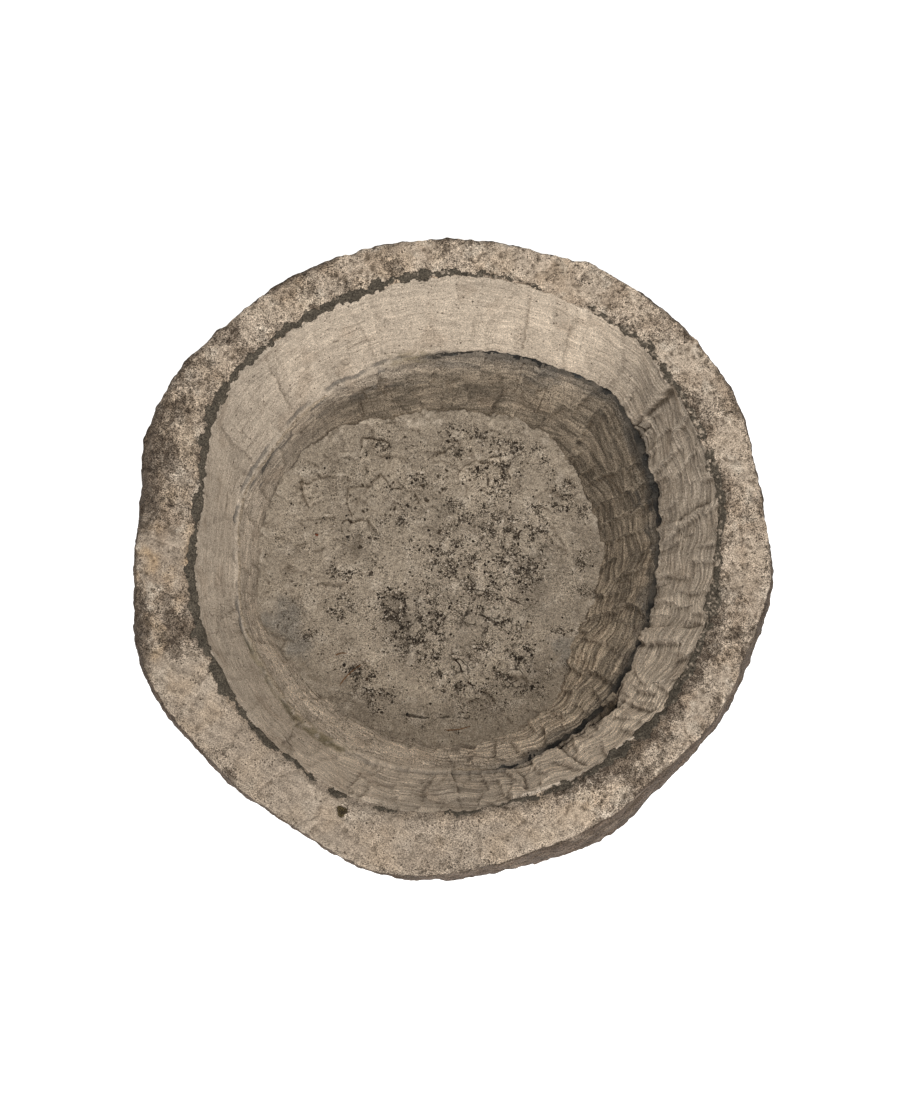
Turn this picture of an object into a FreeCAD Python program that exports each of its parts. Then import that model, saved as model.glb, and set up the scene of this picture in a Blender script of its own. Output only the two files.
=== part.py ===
import FreeCAD, Part

import math
import os
from collections import namedtuple

# Round planting trough hewn from one block of stone, with the crust, clay, silt and litter that lie in it.
# Millimetres, +Z up, origin on the ground below the middle of the widest outline.

# Outside of the block, from the rim down
HEIGHT = 290.0
BELLY_RADIUS = 322.0
BELLY_CENTRE = (-4.0, 3.0)
RIM_EDGE_INSET = 1.0
SHOULDER_DROP = 14.0
SHOULDER_INSET = 1.0
BELLY_DROP = 75.0
LOW_SIDE_HEIGHT = 120.0
LOW_SIDE_INSET = 9.0
FOOT_HEIGHT = 35.0
FOOT_INSET = 31.0
BASE_INSET = 58.0

# Hollow, from the rim in and down
RIM_WIDTH = 53.0
MOUTH_BEVEL_WIDTH = 9.0
MOUTH_BEVEL_DROP = 8.0
UPPER_WALL_RUN = 43.0
LEDGE_DEPTH = 120.0
LEDGE_WIDTH = 6.0
LOWER_WALL_RUN = 42.0
FLOOR_DEPTH = 200.0
MOUTH_CENTRE = (1.0, 14.0)
LIP_CENTRE = (-4.0, 11.0)
FLOOR_CENTRE = (-23.0, 8.0)

# Open bedding parting behind the ledge
PARTING_HEIGHT = 5.0
PARTING_DEPTH = 7.0

# Hewing errors of each outline, outwards, at equal steps round it from +X towards +Y
BELLY_BUMPS = [5, 1, 9, 10, 7, 0, 0, 1, 2, 3, 8, -1, -4, 9, 7, 0, -6, 6, 5, 0, 1, -5, 2, 5]
RIM_SETBACKS = [3, 2, 1, 1, 1, 1, 1, 1, 1, 1, 1, 2, 3, 3, 3, 2, 4, 5, 8, 10, 15, 9, 7, 8]
MOUTH_BUMPS = [-4, 1, 1, 7, 3, 3, 3, 0, 0, 4, 6, -10, -11, -4, -1, 2, 5, 8, 3, -1, -2, -1, -3, -4]
LIP_BUMPS = [-7, 0, 8, 18, 6, -1, -9, -9, -7, -5, -3, 3, -2, 2, 2, 5, 5, 3, 0, 1, -1, -3, -7, -9]
FLOOR_BUMPS = [-3, 2, 0, 5, 4, -4, -10, -13, 1, 6, 5, 4, 3, 7, -4, -8, -8, -5, 2, 7, 10, 5, -14, -10]

# Rows of chisel strokes: along each row the cut deepens in steps, then starts again at the next stroke
STROKE_CUTS = [0.0, 0.5, 1.0]
SIDE_STROKE_LENGTH = 64.0
SIDE_STROKE_DEPTH = 5.0
WALL_STROKE_LENGTH = 48.0
WALL_STROKE_DEPTH = 4.0
FAINT_STROKE_DEPTH = 1.0
DEEP_STROKES_ANGLE = 340.0
UPPER_ROWS = [0.35, 0.7]
LOWER_ROWS = [0.35, 0.7]

# Notch broken out of the lip
NOTCH_ANGLE = 318.0
NOTCH_WIDTH = 24.0
NOTCH_DEPTH = 10.0
NOTCH_HEIGHT = 14.0

# Crust on the mouth bevel and clay in the parting: each arc is (start angle, sweep) in degrees
CRUST_THICKNESS = 1.5
CRUST_ARCS = [(266, 156), (70, 170), (242, 5), (252, 7)]
CLAY_THICKNESS = 3.0
CLAY_INSET = 1.0
CLAY_CLEARANCE = 0.4
CLAY_ARCS = [(270, 195), (125, 105)]

# Silt bed
SILT_THICKNESS = 5.0
SILT_CLEARANCE = 0.4
SCOUR_RADIUS = 22.0
SCOUR_DEPTH = 2.0
SCOUR_PLACES = [(118, 0.77), (142, 0.68), (88, 0.58), (194, 0.83), (197, 0.50), (185, 0.20), (273, 0.30),
                (305, 0.77), (9, 0.76)]

# Litter on the silt: each place is (angle in degrees, share of the way from the floor's centre to its edge)
GRIT_GRAIN_RADIUS = 1.6
GRIT_BURIAL = 0.5
GRIT_GRAINS = 7
GRIT_SPACING = 6.5
GRIT_TURN = 137.5
GRIT_PATCHES = [(64, 0.84), (50, 0.64), (47, 0.42), (8, 0.10), (240, 0.52), (325, 0.60), (338, 0.80),
                (128, 0.36)]
SEED_LENGTH = 4.2
SEED_WIDTH = 2.6
SEED_PLACES = [(240, 0.80), (159, 0.53), (109, 0.44), (153, 0.41), (163, 0.71), (261, 0.90)]
STRAW_RADIUS = 0.7
STRAW_ENDS = [((232, 0.94), (234, 0.74)), ((275, 0.95), (284, 0.95)), ((222, 0.80), (225, 0.75))]
TWIG_RADIUS = 1.0
TWIG_TIP_RADIUS = 0.5
TWIG_ENDS = [((285, 0.54), (287, 0.62)), ((288, 0.69), (291, 0.72)), ((20, 0.56), (24, 0.60))]

# Chips of the same stone
CHIP_WIDTH = 18.0
CHIP_DEPTH = 11.0
CHIP_HEIGHT = 9.0
CHIP_BACK_HEIGHT = 5.0
CHIP_CLEARANCE = 0.4
SMALL_CHIP_WIDTH = 7.0
SMALL_CHIP_DEPTH = 5.0
SMALL_CHIP_HEIGHT = 4.0
SMALL_CHIP_PLACE = (330, 0.72)

# Moss on the rim
MOSS_ANGLE = 248.0
MOSS_RADIUS = 6.0
MOSS_HEIGHT = 4.0
MOSS_INSET = 9.0

UP = FreeCAD.Vector(0, 0, 1)

Ring = namedtuple("Ring", "x y radius bumps")

mouth_radius = BELLY_RADIUS - RIM_WIDTH
lip_radius = mouth_radius - UPPER_WALL_RUN
floor_radius = lip_radius - LEDGE_WIDTH - LOWER_WALL_RUN

belly = Ring(*BELLY_CENTRE, BELLY_RADIUS, BELLY_BUMPS)
rim_bumps = [bump - setback for bump, setback in zip(BELLY_BUMPS, RIM_SETBACKS)]
rim = Ring(*BELLY_CENTRE, BELLY_RADIUS, rim_bumps)
mouth = Ring(*MOUTH_CENTRE, mouth_radius, MOUTH_BUMPS)
lip = Ring(*LIP_CENTRE, lip_radius, LIP_BUMPS)
ledge = Ring(*LIP_CENTRE, lip_radius - LEDGE_WIDTH, LIP_BUMPS)
floor = Ring(*FLOOR_CENTRE, floor_radius, FLOOR_BUMPS)

ledge_z = HEIGHT - LEDGE_DEPTH
lip_z = ledge_z + PARTING_HEIGHT
mouth_z = HEIGHT - MOUTH_BEVEL_DROP
floor_z = HEIGHT - FLOOR_DEPTH
silt_z = floor_z + SILT_THICKNESS


def between(low, high, share):
    """Ring that lies the given share of the way from one ring to another."""

    def mix(a, b):
        return a + (b - a) * share

    bumps = [mix(a, b) for a, b in zip(low.bumps, high.bumps)]
    return Ring(mix(low.x, high.x), mix(low.y, high.y), mix(low.radius, high.radius), bumps)


def reach_at(ring, degrees):
    """Radius of a ring in one direction, straight between its nearest two bumps."""
    place = (degrees % 360) / 360 * len(ring.bumps)
    first = int(place)
    second = (first + 1) % len(ring.bumps)
    share = place - first
    return ring.radius + ring.bumps[first] * (1 - share) + ring.bumps[second] * share


def spot(ring, degrees, distance, z):
    """Point at a direction and distance from a ring's centre."""
    angle = math.radians(degrees)
    return FreeCAD.Vector(ring.x + distance * math.cos(angle), ring.y + distance * math.sin(angle), z)


def closed_curve(points):
    """Smooth closed curve through points at equal steps of its parameter, which runs from 0 to 360."""
    count = len(points)
    degrees = [360 * step / count for step in range(count + 1)]
    curve = Part.BSplineCurve()
    curve.interpolate(Points=points, PeriodicFlag=True, Parameters=degrees)
    return curve


def ring_curve(ring, z, grow):
    """Smooth curve of a ring at one height, grown outwards by a distance."""
    count = len(ring.bumps)
    points = []
    for step, bump in enumerate(ring.bumps):
        points.append(spot(ring, 360 * step / count, ring.radius + bump + grow, z))
    return closed_curve(points)


def outline(ring, z, grow=0.0):
    """Smooth closed wire of a ring at one height, grown outwards by a distance."""
    return Part.Wire(ring_curve(ring, z, grow).toShape())


def hewn_outline(ring, z, length, depth_at, lag, grow=0.0):
    """Outline with a row of chisel strokes, cut outwards by the depth that a direction in degrees gives."""
    plain = ring_curve(ring, z, grow)
    centre = FreeCAD.Vector(ring.x, ring.y, z)
    strokes = round(2 * math.pi * ring.radius / length)
    steps = strokes * len(STROKE_CUTS)
    points = []
    for step in range(steps):
        degrees = 360 * step / steps
        at = plain.value(degrees)
        outwards = (at - centre).normalize()
        cut = STROKE_CUTS[(step + lag) % len(STROKE_CUTS)]
        points.append(at + outwards * depth_at(degrees) * cut)
    return Part.Wire(closed_curve(points).toShape())


def stack(*outlines):
    """Solid with straight sides from each outline to the next."""
    return Part.makeLoft(list(outlines), True, True)


def arcs(band, ring, spans, z_low, z_high):
    """The parts of a band that lie within the given spans of angle round a ring's centre."""
    reach = 2 * BELLY_RADIUS
    pieces = []
    for start, sweep in spans:
        wedge = Part.makeCylinder(reach, z_high - z_low, FreeCAD.Vector(ring.x, ring.y, z_low), UP, sweep)
        wedge.rotate(FreeCAD.Vector(ring.x, ring.y, z_low), UP, start)
        pieces.append(band.common(wedge))
    return Part.makeCompound(pieces)


def turned_block(width, depth, height, degrees, corner):
    """Block whose depth runs outwards in a direction, from the middle of its inner lower edge."""
    block = Part.makeBox(depth, width, height, FreeCAD.Vector(0, -width / 2, 0))
    block.rotate(FreeCAD.Vector(0, 0, 0), UP, degrees)
    block.translate(corner)
    return block


def chip(width, depth, height, back_height, degrees, corner):
    """Wedge of stone that is high on its inner side and low at its back."""
    side = Part.makePolygon([
        FreeCAD.Vector(0, -width / 2, 0),
        FreeCAD.Vector(depth, -width / 2, 0),
        FreeCAD.Vector(depth, -width / 2, back_height),
        FreeCAD.Vector(0, -width / 2, height),
        FreeCAD.Vector(0, -width / 2, 0),
    ])
    wedge = Part.Face(side).extrude(FreeCAD.Vector(0, width, 0))
    wedge.rotate(FreeCAD.Vector(0, 0, 0), UP, degrees)
    wedge.translate(corner)
    return wedge


def cap(radius, rise, foot):
    """Ball with its centre the given rise above a point, cut flat at that point's height."""
    lowest = -math.degrees(math.asin(rise / radius))
    return Part.makeSphere(radius, foot + UP * rise, UP, lowest, 90, 360)


def floor_spot(place, z):
    """Point over the silt at a direction and a share of the way out to its edge."""
    degrees, share = place
    return spot(floor, degrees, reach_at(floor, degrees) * share, z)


def make_notch():
    """Space of the notch, from inside the hollow to its back."""
    inner = ledge.radius + reach_at(lip, NOTCH_ANGLE) - lip.radius
    depth = LEDGE_WIDTH + NOTCH_DEPTH
    return turned_block(NOTCH_WIDTH, depth, NOTCH_HEIGHT, NOTCH_ANGLE, spot(lip, NOTCH_ANGLE, inner, ledge_z))


def side_row(ring, z, inset, lag):
    """Row of strokes round the outside, half proud of the plain outline and half cut into it."""

    def depth_at(degrees):
        return -SIDE_STROKE_DEPTH

    return hewn_outline(ring, z, SIDE_STROKE_LENGTH, depth_at, lag, SIDE_STROKE_DEPTH / 2 - inset)


def make_block():
    """Uncut block with its hewn belly and the uneven setback of its rim."""
    return stack(
        outline(belly, 0, -BASE_INSET),
        side_row(belly, FOOT_HEIGHT, FOOT_INSET, 0),
        side_row(belly, LOW_SIDE_HEIGHT, LOW_SIDE_INSET, 1),
        side_row(belly, HEIGHT - BELLY_DROP, 0, 2),
        side_row(between(belly, rim, 0.5), HEIGHT - SHOULDER_DROP, SHOULDER_INSET, 0),
        outline(rim, HEIGHT, -RIM_EDGE_INSET),
    )


def wall_row(ring, z, lag):
    """Row of strokes round a wall of the hollow, deep on one side and faint on the other."""

    def depth_at(degrees):
        turn = math.cos(math.radians(degrees - DEEP_STROKES_ANGLE))
        return FAINT_STROKE_DEPTH + (WALL_STROKE_DEPTH - FAINT_STROKE_DEPTH) * (1 + turn) / 2

    return hewn_outline(ring, z, WALL_STROKE_LENGTH, depth_at, lag)


def wall_rows(low, low_z, high, high_z, shares):
    """Rows of strokes at the given shares of the way up a wall, each row lagging the one below it."""
    rows = []
    for lag, share in enumerate(shares):
        rows.append(wall_row(between(low, high, share), low_z + (high_z - low_z) * share, lag))
    return rows


def make_bevel(z_low, z_high, grow=0.0):
    """Funnel of the mouth bevel between two heights."""
    slope = MOUTH_BEVEL_WIDTH / MOUTH_BEVEL_DROP
    low = outline(mouth, z_low, (z_low - mouth_z) * slope + grow)
    high = outline(mouth, z_high, (z_high - mouth_z) * slope + grow)
    return stack(low, high)


def make_hollow():
    """Whole space of the hollow, with the parting behind the ledge."""
    lower_rows = wall_rows(floor, floor_z, ledge, ledge_z, LOWER_ROWS)
    lower = stack(outline(floor, floor_z), *lower_rows, outline(ledge, ledge_z))
    parting = stack(outline(lip, ledge_z, PARTING_DEPTH), outline(lip, lip_z, PARTING_DEPTH))
    upper_rows = wall_rows(lip, lip_z, mouth, mouth_z, UPPER_ROWS)
    upper = stack(outline(lip, lip_z), *upper_rows, outline(mouth, mouth_z))
    bevel = make_bevel(mouth_z, HEIGHT + MOUTH_BEVEL_DROP)
    return lower.fuse([parting, upper, bevel, make_notch()])


def make_trough_stone():
    return make_block().cut(make_hollow())


def make_mouth_crust():
    band = make_bevel(mouth_z, HEIGHT).cut(make_bevel(mouth_z, HEIGHT, -CRUST_THICKNESS))
    return arcs(band, mouth, CRUST_ARCS, mouth_z, HEIGHT)


def make_parting_clay():
    top = ledge_z + CLAY_THICKNESS
    back = PARTING_DEPTH - CLAY_CLEARANCE
    front = CLAY_INSET - LEDGE_WIDTH
    band = stack(outline(lip, ledge_z, back), outline(lip, top, back))
    band = band.cut(stack(outline(lip, ledge_z, front), outline(lip, top, front)))
    band = band.cut(make_notch())
    return arcs(band, lip, CLAY_ARCS, ledge_z, top)


def make_floor_silt():
    """Bed that fills the bottom of the hollow, with shallow round scours in its top."""
    top_ring = between(floor, ledge, SILT_THICKNESS / (ledge_z - floor_z))
    bed = stack(outline(floor, floor_z, -SILT_CLEARANCE), outline(top_ring, silt_z, -SILT_CLEARANCE))
    ball_radius = (SCOUR_RADIUS ** 2 + SCOUR_DEPTH ** 2) / (2 * SCOUR_DEPTH)
    for place in SCOUR_PLACES:
        bed = bed.cut(Part.makeSphere(ball_radius, floor_spot(place, silt_z + ball_radius - SCOUR_DEPTH)))
    return bed


def make_grit():
    """Half-sunk round grains, spread over each patch on a sunflower spiral."""
    grains = []
    rise = GRIT_GRAIN_RADIUS - GRIT_BURIAL
    for place in GRIT_PATCHES:
        middle = floor_spot(place, silt_z)
        for step in range(GRIT_GRAINS):
            angle = math.radians(GRIT_TURN * step)
            spread = GRIT_SPACING * math.sqrt(step)
            centre = middle + FreeCAD.Vector(spread * math.cos(angle), spread * math.sin(angle), 0)
            grains.append(cap(GRIT_GRAIN_RADIUS, rise, centre))
    return Part.makeCompound(grains)


def make_stone_chips():
    inner = ledge.radius + reach_at(lip, NOTCH_ANGLE) - lip.radius
    inner += LEDGE_WIDTH + NOTCH_DEPTH - CHIP_DEPTH - CHIP_CLEARANCE
    lodged = chip(CHIP_WIDTH, CHIP_DEPTH, CHIP_HEIGHT, CHIP_BACK_HEIGHT, NOTCH_ANGLE,
                  spot(lip, NOTCH_ANGLE, inner, ledge_z))
    loose = chip(SMALL_CHIP_WIDTH, SMALL_CHIP_DEPTH, SMALL_CHIP_HEIGHT, SMALL_CHIP_HEIGHT / 2,
                 SMALL_CHIP_PLACE[0], floor_spot(SMALL_CHIP_PLACE, silt_z))
    return Part.makeCompound([lodged, loose])


def make_straws():
    straws = []
    for start, end in STRAW_ENDS:
        low = floor_spot(start, silt_z + STRAW_RADIUS)
        run = floor_spot(end, silt_z + STRAW_RADIUS) - low
        straws.append(Part.makeCylinder(STRAW_RADIUS, run.Length, low, run))
    return Part.makeCompound(straws)


def make_twigs():
    """Tapered twigs that lie along their whole lower side."""
    twigs = []
    for start, end in TWIG_ENDS:
        low = floor_spot(start, silt_z + TWIG_RADIUS)
        run = floor_spot(end, silt_z + TWIG_TIP_RADIUS) - low
        twigs.append(Part.makeCone(TWIG_RADIUS, TWIG_TIP_RADIUS, run.Length, low, run))
    return Part.makeCompound(twigs)


def make_seeds():
    """Long round seeds, each lying along the direction of its place."""
    seeds = []
    for place in SEED_PLACES:
        seed = Part.makeSphere(SEED_WIDTH / 2)
        stretch = FreeCAD.Matrix()
        stretch.scale(SEED_LENGTH / SEED_WIDTH, 1, 1)
        seed = seed.transformGeometry(stretch)
        seed.rotate(FreeCAD.Vector(0, 0, 0), UP, place[0])
        seed.translate(floor_spot(place, silt_z + SEED_WIDTH / 2))
        seeds.append(seed)
    return Part.makeCompound(seeds)


def make_moss_tuft():
    """Low round cap that stands on the rim beside the mouth bevel."""
    distance = reach_at(mouth, MOSS_ANGLE) + MOUTH_BEVEL_WIDTH + MOSS_INSET
    foot = spot(mouth, MOSS_ANGLE, distance, HEIGHT)
    ball_radius = (MOSS_RADIUS ** 2 + MOSS_HEIGHT ** 2) / (2 * MOSS_HEIGHT)
    return cap(ball_radius, MOSS_HEIGHT - ball_radius, foot)


NODES = {
    "trough_stone": make_trough_stone,
    "mouth_crust": make_mouth_crust,
    "parting_clay": make_parting_clay,
    "floor_silt": make_floor_silt,
    "grit": make_grit,
    "stone_chips": make_stone_chips,
    "straws": make_straws,
    "twigs": make_twigs,
    "seeds": make_seeds,
    "moss_tuft": make_moss_tuft,
}

os.makedirs("parts", exist_ok=True)
for name, make in NODES.items():
    make().exportStep("parts/" + name + ".step")
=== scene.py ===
"""Looks of the stone trough planter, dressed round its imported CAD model, in metres."""
import itertools
import math

import bmesh
import bpy
import numpy as np
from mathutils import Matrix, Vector
from mathutils.bvhtree import BVHTree


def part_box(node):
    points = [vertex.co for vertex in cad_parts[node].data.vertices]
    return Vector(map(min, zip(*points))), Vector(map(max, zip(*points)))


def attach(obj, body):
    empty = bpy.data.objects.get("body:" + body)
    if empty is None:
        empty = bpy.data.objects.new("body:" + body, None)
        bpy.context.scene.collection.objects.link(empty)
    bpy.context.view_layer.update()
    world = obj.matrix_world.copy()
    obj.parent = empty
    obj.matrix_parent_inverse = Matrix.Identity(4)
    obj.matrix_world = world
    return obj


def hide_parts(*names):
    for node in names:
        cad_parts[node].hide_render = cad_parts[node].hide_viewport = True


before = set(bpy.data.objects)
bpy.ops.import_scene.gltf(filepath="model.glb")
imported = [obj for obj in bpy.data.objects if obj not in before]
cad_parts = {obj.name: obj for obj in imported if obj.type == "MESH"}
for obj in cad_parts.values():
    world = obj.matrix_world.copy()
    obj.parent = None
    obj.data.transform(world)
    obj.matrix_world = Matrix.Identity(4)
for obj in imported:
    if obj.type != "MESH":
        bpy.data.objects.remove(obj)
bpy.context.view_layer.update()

# Camera: almost straight down, from a little in front
PHOTO_WIDTH = 900
PHOTO_HEIGHT = 1108
ORIGIN_AT_PIXEL = (452.4, 552.2)
PIXEL = 0.001
CAMERA_ELEVATION = math.radians(82)
CAMERA_DISTANCE = 2.6
SENSOR = 36.0

# Fineness of the meshes
STEPS = 1440
FINE_ROW = 0.0012
SIDE_ROW = 0.003
HIDDEN_ROW = 0.02
SILT_STEPS = 1440
SILT_ROW = 0.0009

# Heights, from the CAD boxes
BASE_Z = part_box("trough_stone")[0].z
RIM_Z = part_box("trough_stone")[1].z
LEDGE_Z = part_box("parting_clay")[0].z
FLOOR_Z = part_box("floor_silt")[0].z
SILT_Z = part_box("floor_silt")[1].z
MOUTH_DROP = 0.008
PARTING = 0.005
MOUTH_Z = RIM_Z - MOUTH_DROP
LIP_Z = LEDGE_Z + PARTING
OUTER_HEIGHTS = [0.035, 0.120, 0.215, 0.276]
PROBE = 0.0006
PROBE_FAR = 1.0
# Farther than anything that is searched for
FAR = 9.0

THETA = np.arange(STEPS) * (2 * math.pi / STEPS)
DEGREES = np.degrees(THETA)
COS = np.cos(THETA)
SIN = np.sin(THETA)


def srgb(red, green, blue):
    """Linear colour of a screen colour given in 0-255."""
    value = np.array([red, green, blue]) / 255
    return np.where(value <= 0.04045, value / 12.92, ((value + 0.055) / 1.055) ** 2.4)


PALE_STONE = srgb(192, 179, 162)
WALL_STONE = srgb(180, 166, 149)
LOWER_STONE = srgb(150, 136, 118)
RIM_STONE = srgb(176, 160, 142)
BROWN_STAIN = srgb(130, 111, 92)
SIDE_STONE = srgb(95, 81, 70)
# Dark brown of real dirt and cracks, also used for painted shade in hollows, at step feet and in the notch
DIRT_AND_SHADE = srgb(78, 66, 52)
OCHRE = srgb(184, 150, 106)
OLIVE = srgb(108, 96, 62)
# Dark brown of the stone's patina, also used for painted shade in a belt under the rim
PATINA_AND_SHADE = srgb(72, 61, 51)
BLUE_GREY = srgb(104, 107, 106)
SEAM_GREY = srgb(74, 73, 71)
CRUST = srgb(80, 73, 63)
CLAY = srgb(47, 45, 42)
SILT = srgb(160, 147, 130)
SILT_DARK = srgb(104, 93, 80)
BLACK_SPECK = srgb(46, 39, 32)


def fade(t):
    """Eases a share from 0 to 1 with no kink at its ends."""
    return t * t * t * (t * (t * 6 - 15) + 10)


def smooth(low, high, value):
    """0 below low, 1 above high, with an eased ramp between."""
    t = np.clip((value - low) / (high - low), 0, 1)
    return t * t * (3 - 2 * t)


def dice(ix, iy, seed):
    """A repeatable random number from 0 to 1 for each whole-number pair."""
    mask = 0x7FFFFFFF
    h = (ix * 374761393 + iy * 668265263 + seed * 974711) & mask
    h = ((h ^ (h >> 13)) * 1274126177) & mask
    h = ((h ^ (h >> 15)) * 668265263) & mask
    return ((h ^ (h >> 16)) & 0xFFFF) / 0xFFFF


# Brings the noise to a range of about -1 to 1
NOISE_GAIN = 1.6


def noise(points, size, seed):
    """Smooth random field from about -1 to 1 with features of one size, at points (..., 3)."""
    rng = np.random.default_rng(seed)
    order = rng.permutation(256)
    slopes = rng.normal(size=(256, 3))
    slopes /= np.linalg.norm(slopes, axis=1)[:, None]
    x, y, z = (points[..., i] / size for i in range(3))
    cell_x, cell_y, cell_z = (np.floor(value).astype(np.int64) for value in (x, y, z))
    x, y, z = x - cell_x, y - cell_y, z - cell_z
    ease_x, ease_y, ease_z = fade(x), fade(y), fade(z)
    total = np.zeros(points.shape[:-1])
    for a, b, c in itertools.product((0, 1), repeat=3):
        number = order[(order[(order[(cell_x + a) & 255] + cell_y + b) & 255] + cell_z + c) & 255]
        pull = (x - a) * slopes[number, 0] + (y - b) * slopes[number, 1] + (z - c) * slopes[number, 2]
        for corner, ease in zip((a, b, c), (ease_x, ease_y, ease_z)):
            pull = pull * (ease if corner else 1 - ease)
        total += pull
    return total * NOISE_GAIN


def rough(points, size, seed, octaves=4, gain=0.5):
    """Noise in several sizes, each half the one before."""
    total = 0
    strength = 1
    for octave in range(octaves):
        total = total + strength * noise(points, size / 2 ** octave, seed + octave)
        strength *= gain
    return total


def noises(points, *layers):
    """A sum of noises, each given by its strength, size and seed."""
    return sum(strength * noise(points, size, seed) for strength, size, seed in layers)


def plan_drift(points, size, seeds, octaves=3):
    """A random sideways shift at each point, level with the ground."""
    sideways = [rough(points, size, seed, octaves) for seed in seeds]
    return np.stack(sideways + [np.zeros(points.shape[:-1])], -1)


def cells(u, v, seed):
    """Distance to the nearest of one random point per unit square, and that point's random number."""
    iu = np.floor(u).astype(np.int64)
    iv = np.floor(v).astype(np.int64)
    nearest = np.full(u.shape, FAR)
    owner = np.zeros(u.shape)
    for du, dv in itertools.product((-1, 0, 1), repeat=2):
        cu = iu + du
        cv = iv + dv
        distance = np.hypot(cu + dice(cu, cv, seed) - u, cv + dice(cu, cv, seed + 1) - v)
        closer = distance < nearest
        owner = np.where(closer, dice(cu, cv, seed + 2), owner)
        nearest = np.where(closer, distance, nearest)
    return nearest, owner


# One chisel stroke in its unit square: how askew its end is, and how strong the weakest one is
STROKE_SKEW = 0.9
STROKE_WEAKEST = 0.55
# How steep the step at its end is, how fast it rises behind it, and how hollow it is across
STROKE_STEP = 40
STROKE_RISE = 0.55
STROKE_HOLLOW = (0.5, 0.9)


def strokes(u, v, seed, wrap):
    """Chisel strokes, one per unit square, that deepen towards their end and stop at a step.

    Gives the depth at each point, its stroke's number, and how far back from the stroke's end it lies."""
    iu = np.floor(u).astype(np.int64)
    iv = np.floor(v).astype(np.int64)
    deepest = np.full(u.shape, -1.0)
    owner = np.zeros(u.shape)
    run = np.zeros(u.shape)
    for du, dv in itertools.product((-1, 0, 1, 2), (-1, 0, 1)):
        cu = iu + du
        cv = iv + dv
        key = cu % wrap
        across = v - cv - dice(key, cv, seed + 1)
        back = cu + dice(key, cv, seed) - u + (dice(key, cv, seed + 4) - 0.5) * STROKE_SKEW * across
        strength = STROKE_WEAKEST + (1 - STROKE_WEAKEST) * dice(key, cv, seed + 2)
        slope = np.where(back < 0, STROKE_STEP * back ** 2, STROKE_RISE * back)
        depth = strength - slope - STROKE_HOLLOW[0] * across ** 2 - STROKE_HOLLOW[1] * across ** 4
        deeper = depth > deepest
        owner = np.where(deeper, dice(key, cv, seed + 3), owner)
        run = np.where(deeper, back, run)
        deepest = np.maximum(deepest, depth)
    return deepest, owner, run


def from_line(flat, line):
    """How far places lie, in plan, from a line of given points."""
    best = np.full(flat.shape[:-1], FAR)
    for start, stop in zip(line, line[1:]):
        start = np.array(start)
        run = np.array(stop) - start
        off = flat[..., :2] - start
        share = np.clip(off @ run / (run @ run), 0, 1)
        best = np.minimum(best, np.linalg.norm(off - share[..., None] * run, axis=-1))
    return best


def by_angle(stops):
    """A value at every step round a ring, from given (degrees, value) stops."""
    angles, values = zip(*stops)
    return np.interp(DEGREES, angles, values, period=360)


def soften(points, sigma):
    """Blurs a grid along its rows, the ends held."""
    reach = int(3 * sigma) + 1
    offsets = np.arange(-reach, reach + 1)
    weights = np.exp(-0.5 * (offsets / sigma) ** 2)
    weights /= weights.sum()
    padded = np.concatenate([points[:1]] * reach + [points] + [points[-1:]] * reach)
    total = 0
    for start, weight in enumerate(weights):
        total = total + weight * padded[start:start + len(points)]
    return total


def blur(field, rows, steps):
    """A field on a closed grid, softened along its rows and round its rings."""
    wave = np.fft.rfftfreq(field.shape[1])
    damp = np.exp(-2 * (math.pi * steps * wave) ** 2)
    ringed = np.fft.irfft(np.fft.rfft(field, axis=1) * damp, n=field.shape[1], axis=1)
    return soften(ringed, rows)


def grid_normals(points):
    """Outward normals of a grid that is closed round its second axis."""
    around = np.roll(points, -1, 1) - np.roll(points, 1, 1)
    along = np.gradient(points, axis=0)
    normal = np.cross(around, along)
    return normal / np.maximum(np.linalg.norm(normal, axis=-1, keepdims=True), 1e-12)


def blend(colour, target, mask):
    """Colours moved towards one target colour where the mask says."""
    return colour + (target - colour) * np.clip(mask, 0, 1)[..., None]


def toned(colour, tone):
    """One colour, or the colours at points, times a tone at each point."""
    return colour * tone[..., None]


def patches(points, spots, edge=(0.5, 1.2)):
    """Soft-edged mask of listed spots (x, y, radius)."""
    mask = np.zeros(points.shape[:-1])
    for x, y, radius in spots:
        distance = np.hypot(points[..., 0] - x, points[..., 1] - y) / radius
        mask = np.maximum(mask, 1 - smooth(*edge, distance))
    return mask


def turned(points, degrees):
    """Points turned about the vertical axis."""
    angle = math.radians(degrees)
    c, s = math.cos(angle), math.sin(angle)
    return points @ np.array([[c, s, 0], [-s, c, 0], [0, 0, 1]])


def new_object(name, points, faces, uv=None, smooth_faces=True):
    """Mesh object from points (n, 3) and face arrays of equal-length rows."""
    mesh = bpy.data.meshes.new(name)
    mesh.vertices.add(len(points))
    mesh.vertices.foreach_set("co", np.ascontiguousarray(points, np.float32).ravel())
    corners = np.concatenate([rows.ravel() for rows in faces]).astype(np.int32)
    sizes = np.concatenate([np.full(len(rows), rows.shape[1]) for rows in faces])
    starts = np.concatenate([[0], np.cumsum(sizes)[:-1]]).astype(np.int32)
    mesh.loops.add(len(corners))
    mesh.loops.foreach_set("vertex_index", corners)
    mesh.polygons.add(len(sizes))
    mesh.polygons.foreach_set("loop_start", starts)
    mesh.polygons.foreach_set("use_smooth", np.full(len(sizes), smooth_faces))
    mesh.update(calc_edges=True)
    if uv is not None:
        layer = mesh.uv_layers.new(name="OFBake")
        layer.data.foreach_set("uv", np.ascontiguousarray(uv, np.float32).ravel())
    made = bpy.data.objects.new(name, mesh)
    bpy.context.scene.collection.objects.link(made)
    return made


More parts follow.
